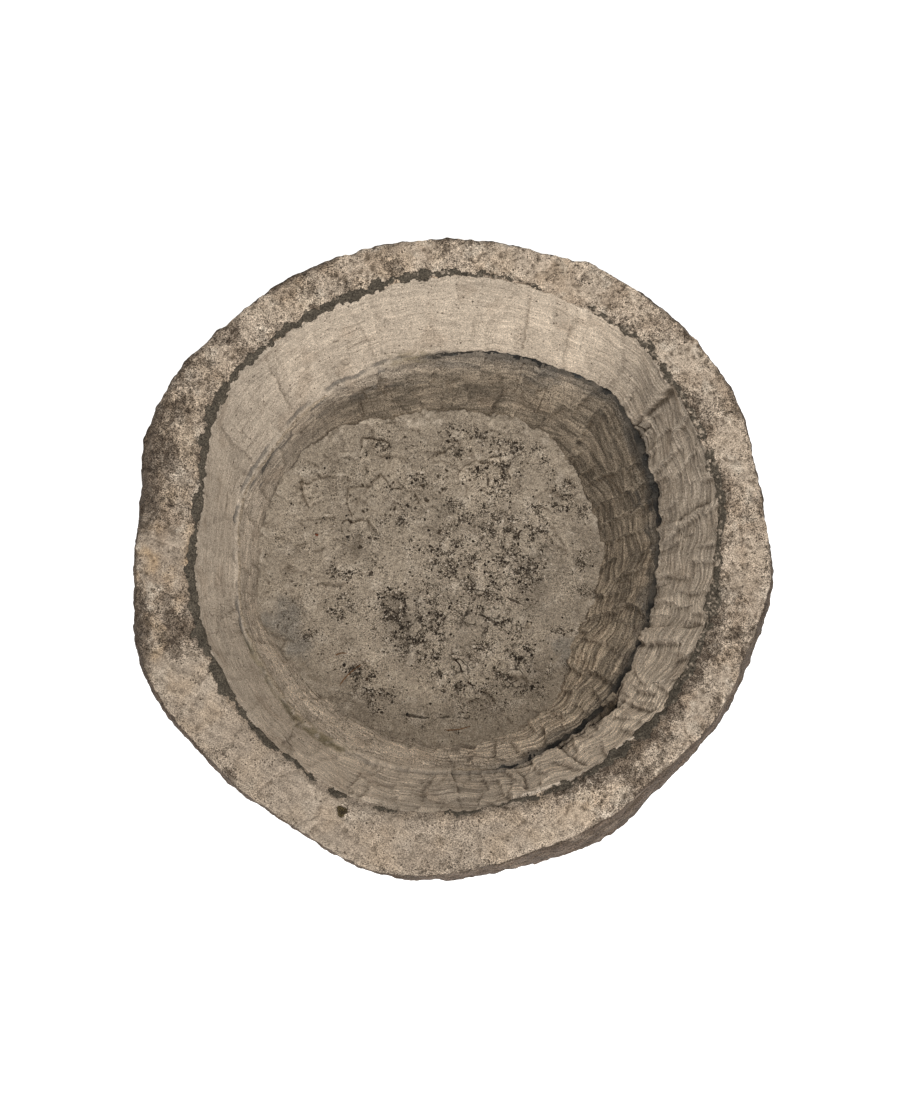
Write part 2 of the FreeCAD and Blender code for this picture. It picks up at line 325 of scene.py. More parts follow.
def paint(piece, colour, density=0.05):
    """Stores a colour (n, 3) and how thick dark grains lie at the points of a mesh, for its material."""
    layer = piece.data.attributes.new("Tint", "FLOAT_COLOR", "POINT")
    rgba = np.ones((len(colour), 4), np.float32)
    rgba[:, :3] = np.clip(colour, 0, 1)
    rgba[:, 3] = density
    layer.data.foreach_set("color", rgba.ravel())


def store_vector(piece, name, vector):
    """Stores a vector (n, 3) at the points of a mesh, for its material."""
    layer = piece.data.attributes.new(name, "FLOAT_VECTOR", "POINT")
    layer.data.foreach_set("vector", np.ascontiguousarray(vector, np.float32).ravel())


# Share of the UV height that each closing fan takes up
FAN_UV = 0.02


def closed_grid(name, points, low_centre, high_centre):
    """Object from a grid of rings, its first and last ring closed by fans, with a strip UV."""
    rows, steps = points.shape[:2]
    index = np.arange(rows * steps).reshape(rows, steps)
    after = np.roll(index, -1, 1)
    quads = np.stack([index[:-1], after[:-1], after[1:], index[1:]], -1).reshape(-1, 4)
    tip = np.full(steps, rows * steps)
    first_fan = np.stack([tip, after[0], index[0]], -1)
    last_fan = np.stack([tip + 1, index[-1], after[-1]], -1)
    everything = np.concatenate([points.reshape(-1, 3), [low_centre, high_centre]])

    run = np.linalg.norm(np.diff(points, axis=0), axis=-1).mean(1)
    height = np.concatenate([[FAN_UV], FAN_UV + (1 - 2 * FAN_UV) * np.cumsum(run) / run.sum()])
    left = np.broadcast_to(np.arange(steps) / steps, (rows - 1, steps))
    right = left + 1 / steps
    lower = np.broadcast_to(height[:-1, None], (rows - 1, steps))
    upper = np.broadcast_to(height[1:, None], (rows - 1, steps))
    quad_uv = np.stack([left, lower, right, lower, right, upper, left, upper], -1).reshape(-1, 2)
    edge = np.arange(steps) / steps
    next_edge = edge + 1 / steps
    zero = np.zeros(steps)
    low = zero + FAN_UV
    high = zero + 1 - FAN_UV
    first_uv = np.stack([edge, zero, next_edge, low, edge, low], -1).reshape(-1, 2)
    last_uv = np.stack([edge, zero + 1, edge, high, next_edge, high], -1).reshape(-1, 2)
    uv = np.concatenate([quad_uv, first_uv, last_uv])
    return new_object(name, everything, [quads, first_fan, last_fan], uv)


def with_centres(values):
    """Grid values as a flat list, with the two fan centres' values after them."""
    flat = values.reshape(-1, values.shape[-1])
    ends = np.stack([values[0].mean(0), values[-1].mean(0)])
    return np.concatenate([flat, ends])


def cad_tree(node):
    """Search tree of a CAD node's faces."""
    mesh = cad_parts[node].data
    points = [v.co.copy() for v in mesh.vertices]
    faces = [tuple(p.vertices) for p in mesh.polygons]
    return BVHTree.FromPolygons(points, faces)


def probe_ring(tree, z, outside, cos=COS, sin=SIN):
    """A ring of points on the CAD stone at one height, seen from outside or from the axis."""
    ring = np.zeros((len(cos), 3))
    for i, (c, s) in enumerate(zip(cos, sin)):
        heading = Vector((c, s, 0))
        start = Vector((0, 0, z)) + heading * PROBE_FAR if outside else Vector((0, 0, z))
        ring[i] = tree.ray_cast(start, -heading if outside else heading)[0]
    return ring


def at_height(ring, z):
    """A ring moved to one height."""
    lifted = ring.copy()
    lifted[:, 2] = z
    return lifted


def reach_of(points):
    """How far points lie from the upright axis."""
    return np.hypot(points[..., 0], points[..., 1])


def pushed(ring, distance):
    """A ring moved out from the axis by a distance."""
    moved = ring.copy()
    reach = reach_of(ring)
    moved[:, :2] *= ((reach + distance) / reach)[:, None]
    return moved


def leg(start, stop, spacing):
    """Rings from one ring to the next, the first left out."""
    gap = np.linalg.norm(stop - start, axis=1).mean()
    count = max(1, int(round(gap / spacing)))
    share = (np.arange(count) + 1) / count
    return start + (stop - start) * share[:, None, None]


# Form of the mouth, the parting and the notch
RIM_BEVEL_WIDTH = 0.009
PARTING_DEPTH = 0.007
LEDGE_SET_BACK = 0.004
NOTCH_CLEAR = 0.018
# Heights of the CAD wall's rows of strokes, as shares, and the rows over which edges are rounded
ROW_SHARES = (0.7, 0.35)
OUTER_SOFT_ROWS = 4
EDGE_SOFT_ROWS = 1.8
LIP_SOFT_ROWS = 6
LIP_REACH = 18
SIDE_HOLD_ROWS = 10
# What shrinks a ring to a small one round the axis
TO_AXIS = (0.05, 0.05, 1)
# How far the parting stands open, by angle: gaping on the right, closed at the front and left
OPEN_PARTING = [(0, 1), (40, 1), (58, 0.7), (95, 0.5), (106, 0.15), (120, 0.04), (272, 0.04),
                (286, 0.6), (300, 1)]
# Depth of the broken notch in the lip, by angle
NOTCH = [(305, 0), (311, 0.003), (315, 0.009), (319, 0.011), (322, 0.006), (327, 0.003), (333, 0)]
NOTCH_RUN = 0.022
# Depth at which the notch gets its full painted shade
NOTCH_FULL_SHADE = 0.012
SIDE_CALM_STEPS = 13
# How far the outline stands out from the CAD one, by angle
SIDE_PUSH = [(24, 0), (30, 0.002), (36, 0), (60, 0), (65, 0.003), (70, 0), (138, 0.001), (150, 0.003),
             (156, 0.005), (162, 0.0045), (168, 0.001), (176, 0), (184, -0.0035), (191, -0.0035),
             (195, 0), (208, -0.001), (217, -0.005), (224, -0.0025), (232, 0), (286, 0), (292, 0.003),
             (303, 0.0035), (309, 0), (331, 0), (339, -0.0022), (347, 0), (355, 0.0018), (359, 0)]
# How far the rim's edge stands out over the side at the front
RIM_PUSH = [(222, 0), (236, 0.004), (250, 0.007), (266, 0.007), (280, 0.003), (290, 0)]
# How far the edges are broken in and out
RIM_BREAK = 0.0018
MOUTH_BREAK = 0.0020
LIP_BREAK = 0.0045
LEDGE_BREAK = 0.0035


def ragged(ring, strength, seed, coarse=0.7):
    """A ring with its edge broken in and out, by coarse and fine bites."""
    flat = ring * (1, 1, 0)
    bite = noises(flat, (coarse, 0.024, seed), (0.6, 0.009, seed + 1), (0.3, 0.004, seed + 2))
    return pushed(ring, strength * bite)


def calmed(ring):
    """An outline ring with its chisel strokes smoothed down, set out or in as the photo shows."""
    reach = reach_of(ring)
    return pushed(ring, blur(reach[None], 0.1, SIDE_CALM_STEPS)[0] - reach + by_angle(SIDE_PUSH))


def legs_through(rings, spacing):
    """Rings from the first of several through to the last, the first left out."""
    return np.concatenate([leg(start, stop, spacing) for start, stop in zip(rings, rings[1:])])


def row_rings(tree, high_z, low_z):
    """Rings at the CAD wall's rows of strokes, from the top down."""
    return [probe_ring(tree, low_z + (high_z - low_z) * share, False) for share in ROW_SHARES]


def ease_lip(points, span):
    """Rounds the lip off where the parting is closed."""
    band = slice(span["upper"].stop - LIP_REACH, span["lower"].start + LIP_REACH)
    part = points[band]
    rows = np.arange(len(part))
    window = smooth(0, LIP_REACH, np.minimum(rows, rows[::-1]) * 2)
    weight = window[:, None] * (1 - by_angle(OPEN_PARTING))
    points[band] = part + (soften(part, LIP_SOFT_ROWS) - part) * weight[..., None]


def upper_rings(tree, mouth):
    """Rings of the upper wall from the mouth to the lip, which carries on from above the CAD notch."""
    rows = row_rings(tree, MOUTH_Z, LIP_Z)
    above = rows[-1]
    clear = probe_ring(tree, LEDGE_Z + NOTCH_CLEAR, False)
    above_z = above[0, 2]
    lip = above + (clear - above) * (above_z - LIP_Z) / (above_z - LEDGE_Z - NOTCH_CLEAR)
    lip = ragged(at_height(lip, LIP_Z), LIP_BREAK * by_angle(OPEN_PARTING), 20)
    return [mouth] + rows + [lip]


def side_rows(tree, base, rim_edge):
    """Rings up the outer side from the base to the rim's edge, rounded in between."""
    outer = [base] + [calmed(probe_ring(tree, z, True)) for z in OUTER_HEIGHTS] + [rim_edge]
    side = np.concatenate([base[None], legs_through(outer, SIDE_ROW)])
    rows = np.arange(len(side))
    hold = smooth(0, 1, np.minimum(rows, rows[::-1]) / SIDE_HOLD_ROWS)
    return side + (soften(side, OUTER_SOFT_ROWS) - side) * hold[:, None, None]


def parting_rings(tree, lip):
    """The foot of the open parting's back, and the edge of the ledge."""
    gape = by_angle(OPEN_PARTING)
    ledge = at_height(probe_ring(tree, LEDGE_Z - PROBE, False), LEDGE_Z)
    ledge = pushed(ledge, LEDGE_SET_BACK * gape)
    ledge = ragged(ledge, LEDGE_BREAK * gape, 36)
    back = pushed(at_height(lip, LEDGE_Z), PARTING_DEPTH)
    back = ledge + (back - ledge) * gape[:, None]
    return pushed(back, by_angle(NOTCH)), ledge


def joined(legs):
    """The rings of several named legs in one grid, and which rows each leg takes up."""
    span = {}
    count = 0
    for name, rows in legs.items():
        span[name] = slice(count, count + len(rows))
        count += len(rows)
    return np.concatenate(list(legs.values())), span


def stone_rows(tree):
    """The stone's plain rings from under its base, up the side, over the rim and down to the floor."""
    base = at_height(probe_ring(tree, BASE_Z + PROBE, True), BASE_Z)
    rim_edge = calmed(at_height(probe_ring(tree, RIM_Z - PROBE, True), RIM_Z))
    rim_edge = ragged(pushed(rim_edge, by_angle(RIM_PUSH)), RIM_BREAK, 30, coarse=0.15)
    mouth = ragged(at_height(probe_ring(tree, MOUTH_Z - PROBE, False), MOUTH_Z), MOUTH_BREAK, 33)
    bevel_top = at_height(pushed(mouth, RIM_BEVEL_WIDTH), RIM_Z)
    upper = upper_rings(tree, mouth)
    lip = upper[-1]
    back, ledge = parting_rings(tree, lip)
    back_top = at_height(back, LIP_Z)
    floor = at_height(probe_ring(tree, FLOOR_Z + PROBE, False), FLOOR_Z)
    points, span = joined({
        "base": leg(base * TO_AXIS, base, HIDDEN_ROW)[:-1],
        "side": side_rows(tree, base, rim_edge),
        "rim": leg(rim_edge, bevel_top, FINE_ROW),
        "bevel": leg(bevel_top, mouth, FINE_ROW),
        "upper": legs_through(upper, FINE_ROW),
        "roof": leg(lip, back_top, FINE_ROW),
        "back": leg(back_top, back, FINE_ROW),
        "shelf": leg(back, ledge, FINE_ROW),
        "lower": legs_through([ledge] + row_rings(tree, LEDGE_Z, FLOOR_Z) + [floor], FINE_ROW),
        "floor": leg(floor, floor * TO_AXIS, HIDDEN_ROW),
    })
    edges = slice(span["side"].start, span["upper"].stop - LIP_REACH)
    points[edges] = soften(points[edges], EDGE_SOFT_ROWS)
    ease_lip(points, span)
    return points, span


# Weathering and tooling by angle round the trough, set from the photo; first the strokes' depth
UPPER_DEPTH = [(0, 0.0046), (35, 0.0042), (48, 0.0026), (60, 0.0014), (80, 0.0012), (200, 0.0012),
               (235, 0.0018), (262, 0.0030), (285, 0.0050), (320, 0.0052)]
LOWER_DEPTH = [(0, 0.0046), (40, 0.0048), (60, 0.0036), (90, 0.0030), (115, 0.0028), (135, 0.0024),
               (160, 0.0020), (250, 0.0022), (275, 0.0034), (300, 0.0052)]
# Height of the fine ridges along the strokes
RIDGE_HEIGHT = [(0, 0.0006), (40, 0.0006), (60, 0.0002), (90, 0.0002), (200, 0.0002), (240, 0.0003),
                (280, 0.0006)]
# Brightness of the walls by angle, matched to the photo round the trough
# These tones are partly the stone's own colour and partly painted light and shade that make some sides of the
# hollow brighter or darker
UPPER_TONE = [(0, 1.06), (30, 0.96), (42, 1.02), (52, 1.30), (60, 1.54), (75, 1.40), (90, 1.26),
              (120, 1.30), (150, 0.98), (180, 1.11), (210, 1.09), (240, 1.49), (270, 1.20), (300, 1.78),
              (330, 1.56), (345, 1.3)]
LOWER_TONE = [(0, 1.11), (30, 0.56), (60, 0.88), (90, 0.85), (120, 0.76), (140, 0.84), (150, 0.93),
              (180, 1.31), (210, 1.50), (240, 1.50), (270, 1.52), (300, 1.92), (330, 1.39)]
# How pale the lower wall's own colour is, from its grey-brown beds at 0 to the upper wall's stone at 1
LOWER_PALE = [(0, 0.0), (120, 0.0), (145, 0.8), (160, 1.0), (275, 1.0), (300, 0.4), (325, 0.0)]
# How thick thin cracks run in the walls
UPPER_VEINS = [(0, 0.3), (50, 0.45), (70, 0.45), (140, 0.5), (190, 0.6), (250, 0.7), (285, 0.4)]
LOWER_VEINS = [(0, 0.7), (60, 0.8), (85, 0.6), (120, 0.7), (150, 0.9), (250, 0.8), (280, 0.7)]
# Olive growth in the closed seam of the ledge
OLIVE_SEAM = [(94, 0), (99, 0.7), (106, 0.5), (110, 0), (196, 0), (204, 0.7), (216, 0.4), (226, 0.9),
              (238, 0.9), (243, 0)]
# Brightness of the rim, set in the same way, and how dark it is weathered
RIM_TONE = [(0, 0.96), (30, 0.98), (60, 1.12), (90, 1.18), (120, 1.08), (150, 0.98), (180, 0.76),
            (210, 0.88), (240, 0.82), (270, 0.78), (300, 0.92), (330, 0.84)]
RIM_PATINA = [(0, 0.25), (20, 0.42), (45, 0.42), (62, 0.30), (80, 0.26), (95, 0.45), (125, 0.52),
              (150, 0.60), (168, 0.50), (178, 0.10), (186, 0.3), (192, 0.85), (197, 0.7), (202, 0.25),
              (212, 0.08), (255, 0.12), (275, 0.22), (300, 0.40), (312, 0.55), (335, 0.48)]
# Where the crust spreads on to the rim
CRUST_SPREAD = [(0, 0.3), (20, 0.35), (50, 0.2), (65, 0.0), (150, 0.2), (200, 0.2), (225, 0),
                (290, 0.1), (302, 1.2), (320, 1.2), (345, 1.1)]
# Dark stains on the rim: x, y and radius
RIM_STAINS = [(-0.056, 0.295, 0.014), (-0.106, 0.276, 0.010), (-0.136, 0.249, 0.009),
              (-0.225, 0.222, 0.014), (-0.276, 0.146, 0.016), (-0.298, 0.100, 0.018),
              (-0.302, 0.058, 0.014), (0.086, 0.299, 0.008), (0.137, 0.278, 0.009),
              (0.103, 0.281, 0.008), (0.239, 0.222, 0.008), (0.275, 0.012, 0.006),
              (0.285, -0.082, 0.010), (0.288, -0.047, 0.008), (0.239, -0.127, 0.014),
              (0.224, -0.161, 0.014), (0.262, -0.150, 0.009), (0.209, -0.185, 0.016),
              (0.175, -0.223, 0.010), (-0.280, -0.089, 0.014), (-0.275, -0.106, 0.012),
              (-0.313, -0.055, 0.010), (-0.223, -0.223, 0.012), (-0.230, -0.204, 0.007),
              (-0.109, -0.260, 0.008), (-0.038, -0.284, 0.004)]
# Heading of the scratches on the rim, and how pitted it is: less so at the front, where it is scratched
SCRATCH_HEADING = 35
RIM_CALM = [(0, 1), (196, 1), (208, 0.35), (285, 0.35), (298, 1)]
# Where the rim is dark from its outer edge inwards
OUTER_PATINA = [(140, 0.0), (152, 0.35), (160, 0.6), (173, 0.6), (177, 0.0)]
# How much ochre the rim has
RIM_OCHRE = [(0, 0.1), (60, 0.1), (100, 0.35), (140, 0.2), (165, 0.3), (180, 0.9), (192, 0.8),
             (205, 0.3), (230, 0.15), (300, 0.25)]
# Width of the dark broken facet along the rim's outer edge
EDGE_WEDGE = [(0, 0.002), (60, 0.002), (140, 0.003), (152, 0.007), (165, 0.014), (170, 0.020),
              (175, 0.012), (178.5, 0.0005), (183, 0.0005), (187, 0.010), (192, 0.018), (197, 0.013),
              (203, 0.004), (230, 0.003), (300, 0.004), (330, 0.003)]
WEDGE_SLOPE = 0.9
WEDGE_RUN = 0.06
# Length and width of the chisel strokes
UPPER_STROKE = (0.030, 0.055)
LOWER_STROKE = (0.027, 0.040)
SIDE_STROKE = (0.046, 0.034)
# Relief of the side: its strokes fade out towards the rim between two heights
SIDE_CUT = 0.0075
SIDE_CUT_LEAST = 0.0016
CUT_RISE = (0.20, 0.13)
SIDE_LUMP = 0.0014
SIDE_LAYER = 0.0020
SIDE_FOOT_ROWS = 8
# Height of the belt of painted shade under the rim
SHADE_BELT = 0.14
# Relief of the rim: flaked facets, lumps, roughness and pits
RIM_FACET = 0.045
RIM_FLAKE = 0.0014
RIM_LUMP = 0.0014
RIM_ROUGH = 0.0016
RIM_PIT = 0.0014
RIM_SINK = 0.001
# Relief over which a hollow gets its full painted shade
HOLLOW_FULL = 0.0010
# How thick dark grains lie, and how strong the tool marks show
PLAIN_DENSITY = 0.05
SIDE_DENSITY = 0.26
LOWER_DENSITY = 0.15
SIDE_WEAR = 0.8
LOWER_WEAR = 1.3
# Stroke depth at which a wall counts as fully rugged
RUGGED_CUT = 0.005
# Steps down the upper wall: angle at the mouth and at the lip, depth, and degrees over which they run out
WALL_STEPS = [(37.5, 38.5, 0.0080, -9), (64, 62, 0.0010, -5), (73, 72, 0.0013, 7), (84, 86, 0.0012, -6),
              (112, 110, 0.0012, 6), (133, 136, 0.0014, -7), (150, 152, 0.0012, 8),
              (228, 226, 0.0016, 8), (246, 247, 0.0016, -6), (272, 270, 0.0028, 8),
              (288, 287, 0.0034, 8), (302, 300, 0.0040, 9), (323, 321, 0.0034, -8),
              (344, 343, 0.0026, 8), (12, 11, 0.0028, 8)]
# Depth at which a step's foot gets its full painted shade
STEP_DEEP = 0.004
# Small steps across the rim: start, stop and height
RIM_STEPS = [((-0.304, 0.015), (-0.268, 0.002), 0.0030), ((0.036, 0.303), (0.071, 0.280), 0.0022),
             ((0.050, -0.283), (0.075, -0.262), 0.0015), ((-0.190, -0.235), (-0.165, -0.215), 0.0016)]
LINE_STEP_EDGE = 0.0006
LINE_STEP_RUN = 0.022


def wall_place(points):
    """Position on a wall as (x, y) on a mean circle and the distance down the wall."""
    depth = np.concatenate([[0], np.cumsum(np.linalg.norm(np.diff(points, axis=0), axis=-1).mean(1))])
    radius = reach_of(points).mean()
    place = np.empty(points.shape)
    place[..., 0] = radius * COS
    place[..., 1] = radius * SIN
    place[..., 2] = depth[:, None]
    return place, radius


def along_ring(place, stretch):
    """Places squeezed so that a field on them runs long round the ring."""
    return place * (1 / stretch, 1 / stretch, 1)


def carve(points, size, seed):
    """Chisel strokes with combed ends on a band of rows.

    Gives their depth, each stroke's random number, how near its end a point is, and places along it."""
    place, radius = wall_place(points)
    wrap = max(3, int(round(2 * math.pi * radius / size[0])))
    comb = 0.06 * noise(along_ring(place, 12), 0.0036, seed + 11)
    comb = comb + 0.04 * noise(along_ring(place, 8), 0.0018, seed + 12)
    u = THETA / (2 * math.pi) * wrap + comb + 0.2 * noise(place, 0.05, seed + 13)
    v = place[..., 2] / size[1] + 0.25 * noise(place, 0.05, seed + 14)
    depth, owner, run = strokes(u, v, seed, wrap)
    ends = np.exp(-np.abs(run) / 0.10)
    grain = place.copy()
    lean = (owner - 0.5) * 0.3 * run * size[0]
    grain[..., 2] += lean + owner * 0.04 + 0.0008 * noise(place, 0.03, seed + 15)
    return depth, owner, ends, grain


def ridges_on(grain, seed):
    """Fine parallel ridges left along the chisel strokes."""
    return noise(along_ring(grain, 14), 0.0036, seed) + 0.7 * noise(along_ring(grain, 9), 0.0020, seed + 1)


def wall_steps(points):
    """Broken steps down the upper wall: how far each point is sunk, and how near a step's foot it is."""
    place = wall_place(points)[0]
    share = place[..., 2] / place[-1, 0, 2]
    sunk = np.zeros(share.shape)
    foot = np.zeros(share.shape)
    wander = noises(place, (0.7, 0.03, 130), (0.4, 0.009, 131))
    for at_mouth, at_lip, depth, run in WALL_STEPS:
        line = at_mouth + (at_lip - at_mouth) * share + wander
        beyond = ((DEGREES - line + 180) % 360 - 180) * np.sign(run)
        drop = smooth(-0.15, 0.15, beyond) * np.exp(-np.clip(beyond, 0, None) / abs(run))
        patchy = smooth(0.0, 0.25, share) * smooth(-0.7, 0.1, noise(place, 0.03, int(131 + at_mouth)))
        sunk += depth * drop * patchy
        near = np.exp(-np.abs(beyond - 0.2) / 0.35)
        foot = np.maximum(foot, near * patchy * depth / STEP_DEEP)
    return sunk, foot


def tool_side(points):
    """Relief, colour, stroke coordinates and wear of the hewn and weathered outer side."""
    depth, owner, ends, grain = carve(points, SIDE_STROKE, 40)
    layered = points * (0.5, 0.5, 1)
    cut = SIDE_CUT * smooth(*CUT_RISE, points[..., 2]) + SIDE_CUT_LEAST
    lift = cut * (0.35 - depth) + SIDE_LUMP * rough(points, 0.022, 41)
    lift += SIDE_LAYER * rough(layered, 0.010, 45, 4)
    lift *= smooth(0, SIDE_FOOT_ROWS, np.arange(len(points)))[:, None]
    # Each stroke's facet lighter or darker: partly the stone's own tone, partly painted shading that sets the
    # facets apart
    colour = toned(SIDE_STONE, 1 + 0.40 * (owner - 0.5) + 0.16 * rough(points, 0.04, 80, 5))
    colour = blend(colour, RIM_STONE, 0.34 * smooth(0.1, 0.7, rough(layered, 0.012, 85, 4)))
    colour = blend(colour, PATINA_AND_SHADE, 0.5 * smooth(-0.1, 0.6, rough(points, 0.05, 90, 5)))
    colour = toned(colour, 1 + 0.30 * rough(along_ring(points, 3), 0.012, 98, 4))
    # Painted shade along the step at each stroke's end
    colour = blend(colour, DIRT_AND_SHADE, 0.5 * ends * smooth(-0.4, 0.4, noise(points, 0.012, 95)))
    # Painted shade in a belt under the rim
    height = points[..., 2] + 0.03 * rough(points, 0.05, 96, 3)
    shade_under_rim = smooth(RIM_Z - SHADE_BELT, RIM_Z - 0.2 * SHADE_BELT, height)
    colour = blend(colour, PATINA_AND_SHADE, 0.45 * shade_under_rim)
    wear = np.zeros(points.shape)
    wear[..., 0] = SIDE_WEAR
    return lift, colour, grain, wear


def line_steps(points, steps):
    """Small steps along given lines: the ground left of each line is raised and runs out behind it."""
    lift = np.zeros(points.shape[:-1])
    for start, stop, height in steps:
        start = np.array(start)
        line = np.array(stop) - start
        length = np.linalg.norm(line)
        line /= length
        off = points[..., :2] - start
        along = off @ line / length
        beside = off @ np.array([-line[1], line[0]])
        window = smooth(-0.05, 0.05, along) * (1 - smooth(0.95, 1.05, along))
        rise = smooth(-LINE_STEP_EDGE, LINE_STEP_EDGE, beside) * np.exp(-np.abs(beside) / LINE_STEP_RUN)
        lift += height * window * rise
    return lift


def tool_rim(points):
    """Weathered rim: gentle lumps, flaked facets, small pits and steps."""
    calm = by_angle(RIM_CALM)
    u = points[..., 0] / RIM_FACET + 0.3 * noise(points, 0.03, 52)
    v = points[..., 1] / RIM_FACET + 0.3 * noise(points, 0.03, 53)
    lift = RIM_LUMP * noise(points, 0.06, 50) + RIM_FLAKE * cells(u, v, 54)[1] - RIM_SINK
    lift += RIM_ROUGH * (0.4 + 0.6 * calm) * rough(points, 0.014, 51, 4, 0.6)
    pits = smooth(0.30, 0.65, noises(points, (1, 0.0045, 56), (0.4, 0.02, 57)))
    return lift - RIM_PIT * calm * pits + line_steps(points, RIM_STEPS)


def drop_wedges(points, span):
    """Breaks the rim's outer edge down into its sloping facets, and says how deep in one each point lies."""
    edge = reach_of(points[span["rim"].start])
    part = points[span["side"].start:span["bevel"].stop]
    inset = by_angle(EDGE_WEDGE) * (1 + 0.35 * noise(points[span["rim"].start], 0.012, 58))
    inward = 1 - np.clip((edge - reach_of(part)) / np.maximum(inset, 0.0005), 0, 1)
    near_top = smooth(RIM_Z - WEDGE_RUN, RIM_Z, part[..., 2])
    part[..., 2] -= WEDGE_SLOPE * inset * inward * near_top
    return inward * near_top * smooth(0.003, 0.008, inset)


def rim_patina(points, calm):
    """How dark the rim is weathered, from its outer edge in to the mouth."""
    across = np.linspace(0, 1, len(points))[:, None]
    stained = patches(points + 0.008 * plan_drift(points, 0.02, (71, 74)), RIM_STAINS, (0.3, 1.3))
    amount = 0.8 * by_angle(RIM_PATINA) + 0.35 * smooth(0.22, 0, across) + 0.6 * stained
    amount = amount + by_angle(OUTER_PATINA) * smooth(0.62, 0.30, across)
    amount = amount + 0.2 * smooth(0.60, 1, across)
    amount = amount + 0.9 * by_angle(CRUST_SPREAD) * smooth(0.40, 0.95, across)
    return amount + 0.45 * (0.4 + 0.6 * calm) * rough(points, 0.045, 78, 4)


def rim_colour(points, wedge):
    """Beige rim with brown clouds, ochre and dark patches, and how thick its dark grains lie."""
    tone = by_angle(RIM_TONE) * (1 + 0.12 * rough(points, 0.05, 60, 5) + 0.06 * rough(points, 0.007, 62, 3))
    colour = toned(RIM_STONE, tone)
    calm = by_angle(RIM_CALM)
    colour = blend(colour, BROWN_STAIN, 0.5 * calm * smooth(-0.2, 0.6, rough(points, 0.03, 65, 4)))
    colour = blend(colour, PALE_STONE, 0.55 * calm * smooth(0.2, 0.7, rough(points, 0.02, 68, 5)))
    ochre = by_angle(RIM_OCHRE) * smooth(-0.2, 0.6, rough(points, 0.03, 70, 3))
    colour = blend(colour, OCHRE, 0.45 * ochre)
    amount = rim_patina(points, calm)
    fine = noises(points, (0.35, 0.0030, 75), (0.35, 0.0055, 76), (0.35, 0.012, 77))
    colour = blend(colour, PATINA_AND_SHADE, 0.55 * smooth(0.58, 0.92, amount + fine))
    colour = blend(colour, PATINA_AND_SHADE, 0.85 * wedge * smooth(-0.6, 0.1, noise(points, 0.006, 79)))
    return colour, np.clip(0.04 + 0.48 * amount, 0.02, 0.54)


def wall_colour(points, base, tone, seed):
    """Pale tooled wall with clouds, brown stains and small dark pores."""
    colour = toned(base, tone * (1 + 0.08 * rough(points, 0.05, seed, 5)))
    stains = 0.28 * smooth(0.15, 0.8, rough(points, 0.035, seed + 5, 4))
    colour = blend(colour, toned(BROWN_STAIN, tone), stains)
    pores = noises(points, (1, 0.0032, seed + 10), (0.4, 0.02, seed + 11))
    return blend(colour, PATINA_AND_SHADE, 0.6 * smooth(0.85, 1.05, pores))


def shade_hollows(colour, lift):
    """Painted shade in the hollows of a tooled face and painted highlight on its high spots."""
    hollow = np.clip((blur(lift, 3, 3) - lift) / HOLLOW_FULL, -1, 1)
    # Painted highlight on the high spots, then painted shade in the hollows
    worn = toned(colour, 1 + 0.14 * np.clip(-hollow, 0, 1))
    return blend(worn, DIRT_AND_SHADE, 0.62 * np.clip(hollow, 0, 1))


def tool_wall(points, size, base, tone, cut, veins, seed):
    """Relief, colour, stroke coordinates and wear of one wall of the hollow."""
    depth, owner, ends, grain = carve(points, size, seed)
    strength = by_angle(cut)
    ridges = ridges_on(grain, seed + 20)
    lift = strength * (0.35 - depth) + by_angle(RIDGE_HEIGHT) * ridges
    lift = lift + 0.0005 * rough(points, 0.02, seed + 22, 4)
    # The tone by angle is partly the stone's own colour and partly painted light and shade on the walls
    shade = by_angle(tone) * (1 + 0.12 * (owner - 0.5))
    colour = wall_colour(points, base, shade, seed + 30)
    rugged = strength / RUGGED_CUT
    # Painted highlight on the crests of the fine ridges and painted shade between them, stronger where the
    # strokes are deep
    colour = toned(colour, 1 + (0.02 + 0.05 * rugged) * ridges)
    # Painted shade along the step at each stroke's end
    colour = blend(colour, DIRT_AND_SHADE, 0.5 * rugged * ends * smooth(-0.4, 0.4, noise(points, 0.01, seed + 40)))
    wear = np.zeros(points.shape)
    wear[..., 0] = np.clip(1.1 * rugged + 0.15, 0, 1)
    wear[..., 1] = by_angle(veins) * smooth(-0.5, 0.4, noise(points, 0.05, seed + 41))
    return lift, colour, grain, wear


# How far the lower wall takes on the silt's colour at its foot, and over what height
MERGED = [(0, 0), (128, 0), (150, 0.8), (270, 0.8), (300, 0.2), (320, 0)]
MERGE_RUN = 0.030
# How far below the ledge the upper wall's colour and the dark beds reach
PALE_RUN = 0.034
STRATA_RUN = 0.050
# How far apart the lower wall's bedding lines lie, against the chisel lines on the right
BED_SPACING = [(0, 1.0), (50, 1.4), (95, 2.2), (165, 2.4), (230, 1.7), (290, 1.0)]
# How thick dark beds show just under the ledge
STRATA = [(0, 0.7), (45, 0.6), (95, 0.5), (112, 0.9), (160, 1.0), (185, 0.6), (205, 0.1), (285, 0.1),
          (310, 0.6)]
# How dark the line is along which the lower wall meets the silt
FOOT_LINE = [(0, 0.3), (40, 0.3), (80, 0.6), (110, 0.8), (150, 0.8), (175, 0.4), (200, 0.1), (280, 0.1),
             (310, 0.3)]
SEAM_REACH = 16
SEAM_WIDTH = 0.0022
SEAM_DEPTH = 0.0016
PARTING_ROUGH = 0.0012
# How dark the seam of the closed parting is
SEAM = [(95, 0.6), (108, 0.9), (135, 0.7), (160, 0.75), (172, 0.95), (205, 0.95), (225, 0.7),
        (262, 0.35), (284, 0.6)]


